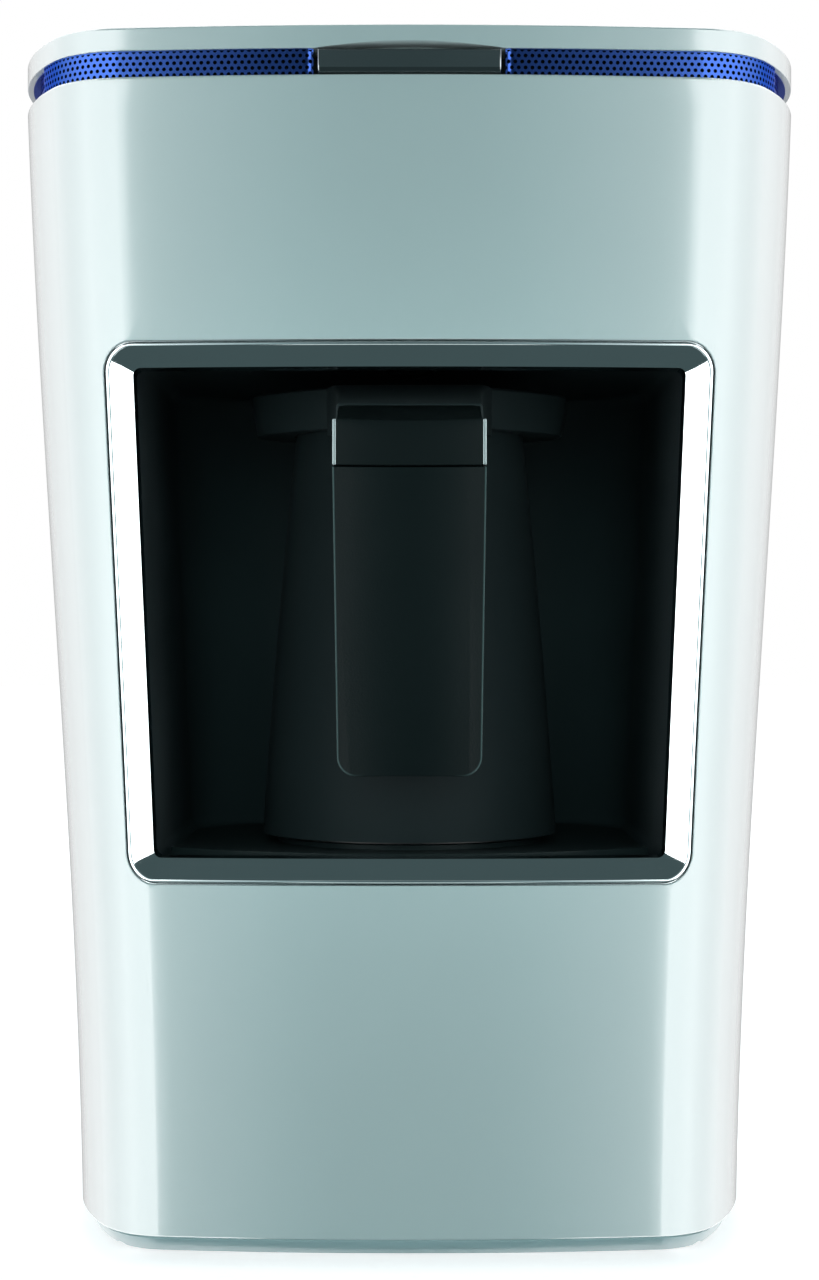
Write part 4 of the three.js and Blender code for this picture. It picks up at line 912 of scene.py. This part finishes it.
seat, bore, ledge, collar_top = 26.2, 25.27, 176.25, 180.25
collar_profile = [(34.5, 28.1, collar_bottom), (34.8, 28.4, 171.35), (35.6, 28.9, 175.5)]
collar_profile += [(36.35, 29.35, 179.2), (36.3, 29.3, 179.7), (35.9, 28.9, 180.1)]
collar_profile += [(35.5, 28.5, collar_top), (25.7, 25.7, collar_top), (bore, bore, 179.9)]
collar_profile += [(bore, bore, ledge), (seat, seat, ledge), (seat, seat, collar_bottom)]
collar_profile.append(collar_profile[0])
collar = drawn_out("pot_collar_ring", [collar_loop(*p) for p in collar_profile], "welded")
handle_front, neck_front, neck_rear, neck_low = -1, 12.8, 36.5, 146.35
neck_half, first_half, handle_top, grip_top = 15.4, 15.0, 169.75, 160.05
slope = 10.5 / (32.6 - handle_front)


def top_at(y):
    """The height of the handle's sloping top."""
    return handle_top + slope * (y - handle_front)


def neck_section(y, half, low, high, fillet=1.0):
    """A cut across the neck, with rounded upper edges."""
    points = [(half, low), (half, high - fillet)]
    points += [(half - inset, high - left) for inset, left in rounded(fillet, 4)[1:]]
    return [at(x, y, z) for x, z in points + [(-x, z) for x, z in reversed(points)]]


neck_loops = []
swell_start, stem_rear, stem_rise = 22, 16.4, collar_bottom - 157.4
for k in range(17):
    y = neck_front + (neck_rear - neck_front) * (k / 16)
    swell = max(0, (y - swell_start) / (neck_rear - swell_start))
    half = neck_half + 2.6 * swell**2.2
    low = neck_low
    if y >= stem_rear:
        rise = stem_rise * min(1, (y - stem_rear) / 13.5)
        low = grip_top - slope * (neck_front - handle_front) + rise
    neck_loops.append(neck_section(y, half, min(low, collar_bottom), min(top_at(y), collar_top)))
y = neck_front + 0.4
neck_loops[0] = neck_section(y, neck_half, neck_low, top_at(y))
neck_loops.insert(0, neck_section(neck_front, first_half, neck_low, top_at(neck_front) - 0.5))
neck = drawn_out("neck", neck_loops)
carve(neck, drawn_out("bore", [disc(0, pot_axis, seat, z, pot_steps) for z in (140, 186)]))
carve(collar, neck, "UNION")
channel_ends, channel_radius, channel_height = (24.37, 60.77), 5.5, 182.35
screw_height = 153.35
for side in (-1, 1):
    channel_loops = []
    for x in channel_ends:
        loop = [at(side * x, pot_axis + y, channel_height + z) for y, z in ring(channel_radius, 40)]
        channel_loops.append(loop)
    carve(collar, drawn_out("channel", channel_loops))
screw_way = [lying(0, screw_height, screw_hole, y, 24) for y in (8, 22)]
carve(collar, drawn_out("screw_hole", screw_way))
smooth(collar, 35)
clothe(collar, collar_black)
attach(collar, "pot")
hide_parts("pot_collar")

# Under the pot: heater disc and ring of plated steel, plastic base plate, and the socket.
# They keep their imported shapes; only the base plate shows, when the pot is out.
for node in ("heater_disc", "heater_element"):
    clothe(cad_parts[node], plated_steel)
clothe(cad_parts["pot_socket"], part_black)
base_plate = softened("pot_base", "pot_base_plate", 0.3)
clothe(base_plate, black_plastic)
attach(base_plate, "pot")
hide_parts("pot_base")

# Handle cap: gloss black cover that carries on the neck's slope, hollow across its face.
# A bright strip stands on either side of it.
bright_chrome = look("bright_trim", (0.155, 0.195, 0.20), 0.45, 1.0, patch=120, relief=0.000004)
cap_half, cap_low, cap_high, cap_hollow, cap_rear = 14.8, 160.35, 170, 1.0, 12.5
cap_sag, cap_corner = 0.65, 1.4


def cap_loop(inset, height):
    """Hollow in front; the upper loops lie along the sloping, slightly sagging top."""
    points = []
    for k in range(25):
        t = k / 12 - 1
        points.append(((cap_half - inset) * t, handle_front + inset + cap_hollow * (1 - t * t)))
    side, back = cap_half - inset, cap_rear - inset
    flat, cut = side - cap_corner, back - cap_corner
    points += [(side, cut), (flat, back), (-flat, back), (-side, cut)]
    if height < cap_low + 5:
        return [at(x, y, height) for x, y in points]
    drop = height - cap_high
    return [at(x, y, top_at(y) - cap_sag * (1 - (x / cap_half) ** 2) + drop) for x, y in points]


cap_profile = [(0.2, cap_low), (0, cap_low + 0.2), (0, 169.72), (0.06, 169.88), (0.2, 169.97)]
cap_profile.append((0.5, cap_high))
cap = drawn_out("handle_cap_gloss", [cap_loop(*p) for p in cap_profile])
smooth(cap, 40)
clothe(cap, black_gloss)
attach(cap, "pot")
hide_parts("handle_cap")
for side in ("left", "right"):
    trim = softened("handle_trim_" + side, "handle_strip_" + side, 0.25, 3)
    clothe(trim, bright_chrome)
    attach(trim, "pot")
    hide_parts("handle_trim_" + side)

# Handle grip: soft-touch moulding round a hard core, hollow across its face.
# Its sides close in towards the foot, and a faint grey line along its rim is a painted highlight of the
# rounded edge.
soft_touch = look(
    "soft_touch_black", (0.007, 0.0115, 0.0120), 0.17, patch=40, grain=2600, relief=0.00003, shine=0.10
)
grip = softened("handle_grip", "handle_grip_soft", 0.7, 3)
grip_half, grip_narrowing, more_narrowing, grip_corner = 0.0157, 0.001, 0.0006, 0.004
line_outer, line_inner, line_front, line_rear = 0.00022, 0.00042, 0.0005, 0.0009
grip_low, grip_high = (corner.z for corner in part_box("handle_grip"))
grip_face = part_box("handle_grip")[0].y
for point in grip.data.vertices:
    drop = (grip_high - point.co.z) / (grip_high - grip_low)
    point.co.x *= 1 - more_narrowing * drop / grip_half


def reckon(tree, way, *terms):
    """One math node; a term is a number or another node's outlet."""
    step = tree.nodes.new("ShaderNodeMath")
    step.operation = way
    for socket, term in zip(step.inputs, terms):
        if isinstance(term, (int, float)):
            socket.default_value = term
        else:
            tree.links.new(term, socket)
    return step.outputs["Value"]


def paint_rim_highlight(tree):
    """A painted highlight: a thin grey line along the sides and the rounded foot of the grip's face."""
    place = tree.nodes.new("ShaderNodeSeparateXYZ")
    tree.links.new(tree.nodes["Texture Coordinate"].outputs["Object"], place.inputs["Vector"])
    height = reckon(tree, "SUBTRACT", place.outputs["Z"], grip_low)
    spread = grip_narrowing / (grip_high - grip_low)
    foot_half = grip_half - grip_narrowing - grip_corner
    half = reckon(tree, "MULTIPLY_ADD", height, spread, foot_half)
    out = reckon(tree, "SUBTRACT", reckon(tree, "ABSOLUTE", place.outputs["X"]), half)
    beside = reckon(tree, "MAXIMUM", out, 0)
    below = reckon(tree, "MAXIMUM", reckon(tree, "SUBTRACT", grip_corner, height), 0)
    square = reckon(tree, "MULTIPLY", below, below)
    away = reckon(tree, "SQRT", reckon(tree, "MULTIPLY_ADD", beside, beside, square))
    line = between(tree, away, grip_corner - line_inner, grip_corner - line_outer)
    face = between(tree, place.outputs["Y"], grip_face + line_rear, grip_face + line_front)
    sideways = reckon(tree, "DIVIDE", beside, reckon(tree, "MAXIMUM", away, 0.000001))
    rim_highlight = reckon(tree, "MULTIPLY", line, reckon(tree, "MULTIPLY_ADD", sideways, 0.75, 0.25))
    # Painted highlight: the grey rim colour is mixed into the base colour here.
    shade = tree.nodes.new("ShaderNodeMix")
    shade.data_type = "RGBA"
    shade.inputs["B"].default_value = (0.085, 0.125, 0.125, 1)
    colour = tree.nodes["Principled BSDF"].inputs["Base Color"]
    tree.links.new(reckon(tree, "MULTIPLY", rim_highlight, face), shade.inputs["Factor"])
    tree.links.new(colour.links[0].from_socket, shade.inputs["A"])
    tree.links.new(shade.outputs["Result"], colour)


# Paint the rim highlight into the soft-touch finish.
paint_rim_highlight(soft_touch.node_tree)
clothe(grip, soft_touch)
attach(grip, "pot")
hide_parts("handle_grip")
clothe(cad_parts["handle_core"], black_plastic)

# Studio: pale floor that shows white to the camera but keeps the object's shadow.
# Not part of the object.
bpy.ops.mesh.primitive_plane_add(size=12)
studio_floor = bpy.context.object
studio_floor.name = "studio_floor"
floor_paint = bpy.data.materials.new("floor_paint")
floor_paint.use_nodes = True
tree = floor_paint.node_tree
nodes, links = tree.nodes, tree.links
matt = nodes["Principled BSDF"]
matt.inputs["Base Color"].default_value = (0.68, 0.71, 0.72, 1)
matt.inputs["Roughness"].default_value = 0.9
matt.inputs["Specular IOR Level"].default_value = 0.0
white_seen = nodes.new("ShaderNodeEmission")
place = nodes.new("ShaderNodeTexCoord")
away = nodes.new("ShaderNodeVectorMath")
away.operation = "LENGTH"
links.new(place.outputs["Object"], away.inputs[0])
near, far, near_white, far_white = 0.12, 0.9, 0.72, 1.0
fade = between(tree, away.outputs["Value"], near, far, near_white, far_white)
links.new(fade, white_seen.inputs["Strength"])
ray = nodes.new("ShaderNodeLightPath").outputs
seen = reckon(tree, "MAXIMUM", ray["Is Camera Ray"], ray["Is Transmission Ray"])
added = nodes.new("ShaderNodeAddShader")
mixed = nodes.new("ShaderNodeMixShader")
links.new(matt.outputs["BSDF"], added.inputs[0])
links.new(white_seen.outputs["Emission"], added.inputs[1])
links.new(seen, mixed.inputs["Fac"])
links.new(matt.outputs["BSDF"], mixed.inputs[1])
links.new(added.outputs["Shader"], mixed.inputs[2])
links.new(mixed.outputs["Shader"], nodes["Material Output"].inputs["Surface"])
clothe(studio_floor, floor_paint)
studio_floor.visible_glossy = False
studio_floor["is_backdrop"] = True

# Studio light: a softbox on each side, a cool fill from the front, one lamp above.
# Polished faces don't mirror the lamps; they mirror the tent below.
studio = bpy.context.scene
studio.view_settings.view_transform = "Standard"
world = bpy.data.worlds.new("studio_white")
studio.world = world
world.use_nodes = True
tree = world.node_tree
nodes, links = tree.nodes, tree.links
ambient = nodes["Background"]
ambient.inputs["Color"].default_value = (0.70, 0.92, 0.95, 1)
ambient.inputs["Strength"].default_value = 0.12
backdrop = nodes.new("ShaderNodeBackground")
backdrop.inputs["Color"].default_value = (1, 1, 1, 1)
ray = nodes.new("ShaderNodeLightPath").outputs
seen = reckon(tree, "MAXIMUM", ray["Is Camera Ray"], ray["Is Glossy Ray"])
shown = reckon(tree, "MAXIMUM", seen, ray["Is Transmission Ray"])
either = nodes.new("ShaderNodeMixShader")
links.new(shown, either.inputs["Fac"])
links.new(ambient.outputs["Background"], either.inputs[1])
links.new(backdrop.outputs["Background"], either.inputs[2])
links.new(either.outputs["Shader"], nodes["World Output"].inputs["Surface"])
machine_middle = (0, 0, 0.13)


def softbox(name, place, width, height, power, colour):
    """A square lamp aimed at the middle of the machine, hidden from the camera and from mirrors."""
    lamp = bpy.data.lights.new(name, "AREA")
    lamp.shape = "RECTANGLE"
    lamp.size, lamp.size_y = width, height
    lamp.energy = power
    lamp.color = colour
    box = bpy.data.objects.new(name, lamp)
    studio.collection.objects.link(box)
    box.location = place
    aim = Vector(machine_middle) - Vector(place)
    box.rotation_euler = aim.to_track_quat("-Z", "Y").to_euler()
    box.visible_glossy = False
    box.visible_camera = False


for side in (-1, 1):
    softbox("side_softbox", (side * 1.04, 0.45, 0.45), 1.0, 0.9, 3.0, (1, 1, 1))
softbox("cool_fill", (0, -2.3, 0.6), 1.2, 1.0, 12.7, (0.64, 0.97, 0.97))
softbox("top_lamp", (0, 0.2, 1.8), 1.0, 1.0, 10, (0.95, 1.0, 1.0))
softbox("cavity_lamp", (0, -0.135, 0.135), 0.12, 0.10, 0.0115, (0.7, 1.0, 1.0))

# Tent: a round wall of cloth that only polished faces see, with a dark cloth above and below.
# In front it is dark, so that the flat front stays deep; to the sides it turns bright.
tent_radius, tent_bottom, tent_top = 1.7, -0.5, 0.8
tent_height, tent_middle = tent_top - tent_bottom, (0, 0, (tent_top + tent_bottom) / 2)
bpy.ops.mesh.primitive_cylinder_add(
    vertices=180, radius=tent_radius, depth=tent_height, end_fill_type="NOTHING", location=tent_middle
)
tent_wall = bpy.context.object
tent_wall.name = "tent_wall"


def glowing(name, strength, colour=(1, 1, 1)):
    """A cloth that glows in one colour."""
    cloth = bpy.data.materials.new(name)
    cloth.use_nodes = True
    nodes, links = cloth.node_tree.nodes, cloth.node_tree.links
    glow = nodes.new("ShaderNodeEmission")
    glow.inputs["Color"].default_value = (*colour, 1)
    glow.inputs["Strength"].default_value = strength
    links.new(glow.outputs["Emission"], nodes["Material Output"].inputs["Surface"])
    return cloth


def round_glow(name, stops, lean=0.0):
    """Cloth that glows by the angle from the front, alike to both sides; lean in degrees a metre."""
    cloth = glowing(name, 6.0)
    tree = cloth.node_tree
    nodes, links = tree.nodes, tree.links
    place = nodes.new("ShaderNodeTexCoord")
    parts = nodes.new("ShaderNodeSeparateXYZ")
    links.new(place.outputs["Object"], parts.inputs["Vector"])
    width = reckon(tree, "ABSOLUTE", parts.outputs["X"])
    turn = reckon(tree, "ARCTAN2", width, reckon(tree, "MULTIPLY", parts.outputs["Y"], -1))
    share = reckon(tree, "DIVIDE", turn, math.pi)
    leant = reckon(tree, "MULTIPLY_ADD", parts.outputs["Z"], lean / 180, share)
    ramp = nodes.new("ShaderNodeValToRGB")
    for degrees, shade in stops:
        if degrees in (0, 180):
            stop = ramp.color_ramp.elements[0 if degrees == 0 else -1]
        else:
            stop = ramp.color_ramp.elements.new(degrees / 180)
        stop.color = (*(shade if isinstance(shade, tuple) else [shade] * 3), 1)
    links.new(leant, ramp.inputs["Fac"])
    links.new(ramp.outputs["Color"], nodes["Emission"].inputs["Color"])
    return cloth


wall_stops = [(0, (0.026, 0.039, 0.040)), (5, (0.035, 0.049, 0.052)), (8.3, (0.064, 0.086, 0.089))]
wall_stops += [(11.5, (0.112, 0.138, 0.141)), (15, (0.175, 0.20, 0.205)), (18, (0.25, 0.28, 0.28))]
wall_stops += [(19.7, (0.44, 0.47, 0.47)), (20.5, (0.92, 0.94, 0.94)), (21.3, 1.0), (62, 1.0)]
wall_stops += [(93, 0.64), (129, 0.315), (139, 0.228), (148, 0.18), (165, 0.08), (180, 0.05)]
clothe(tent_wall, round_glow("tent_wall_cloth", wall_stops, 1.6))
end_front = (0.0172, 0.0255, 0.0264)
end_stops = [(0, end_front), (40, end_front), (48, 0.82), (95, 0.78), (132, 0.43), (180, 0.10)]
end_cloth = round_glow("tent_end_cloth", end_stops)
strip_cloth = glowing("light_strip_cloth", 1.0, (1.6, 1.7, 1.7))
dim_strip_cloth = glowing("dim_light_strip_cloth", 1.0, (0.62, 0.68, 0.68))
tent = [tent_wall]
for name, place, size, cloth in (
    ("tent_top", (0, 0, tent_top), (3.6, 3.6), end_cloth),
    ("tent_bottom", (0, 0, tent_bottom), (3.6, 3.6), end_cloth),
    ("light_strip_top", (0, -1.25, tent_top - 0.01), (0.42, 0.22), dim_strip_cloth),
    ("light_strip_bottom", (0, -1.25, tent_bottom + 0.01), (0.42, 0.5), strip_cloth),
):
    bpy.ops.mesh.primitive_plane_add(size=1, location=place)
    end = bpy.context.object
    end.name, end.scale = name, (*size, 1)
    clothe(end, cloth)
    tent.append(end)
for cloth in tent:
    cloth.visible_camera = False
    cloth.visible_diffuse = False
    cloth.visible_shadow = False
    cloth.visible_transmission = False
    cloth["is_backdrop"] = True

# Camera: level, half a metre in front of the casing, at the height of the cavity.
# Not part of the object.
optics = bpy.data.cameras.new("photo_camera")
optics.lens, optics.sensor_width = 67.5, 36
camera = bpy.data.objects.new("photo_camera", optics)
studio.collection.objects.link(camera)
camera.location = (0, -0.5788, 0.1276)
camera.rotation_euler = (math.pi / 2, 0, 0)
studio.camera = camera

low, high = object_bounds()
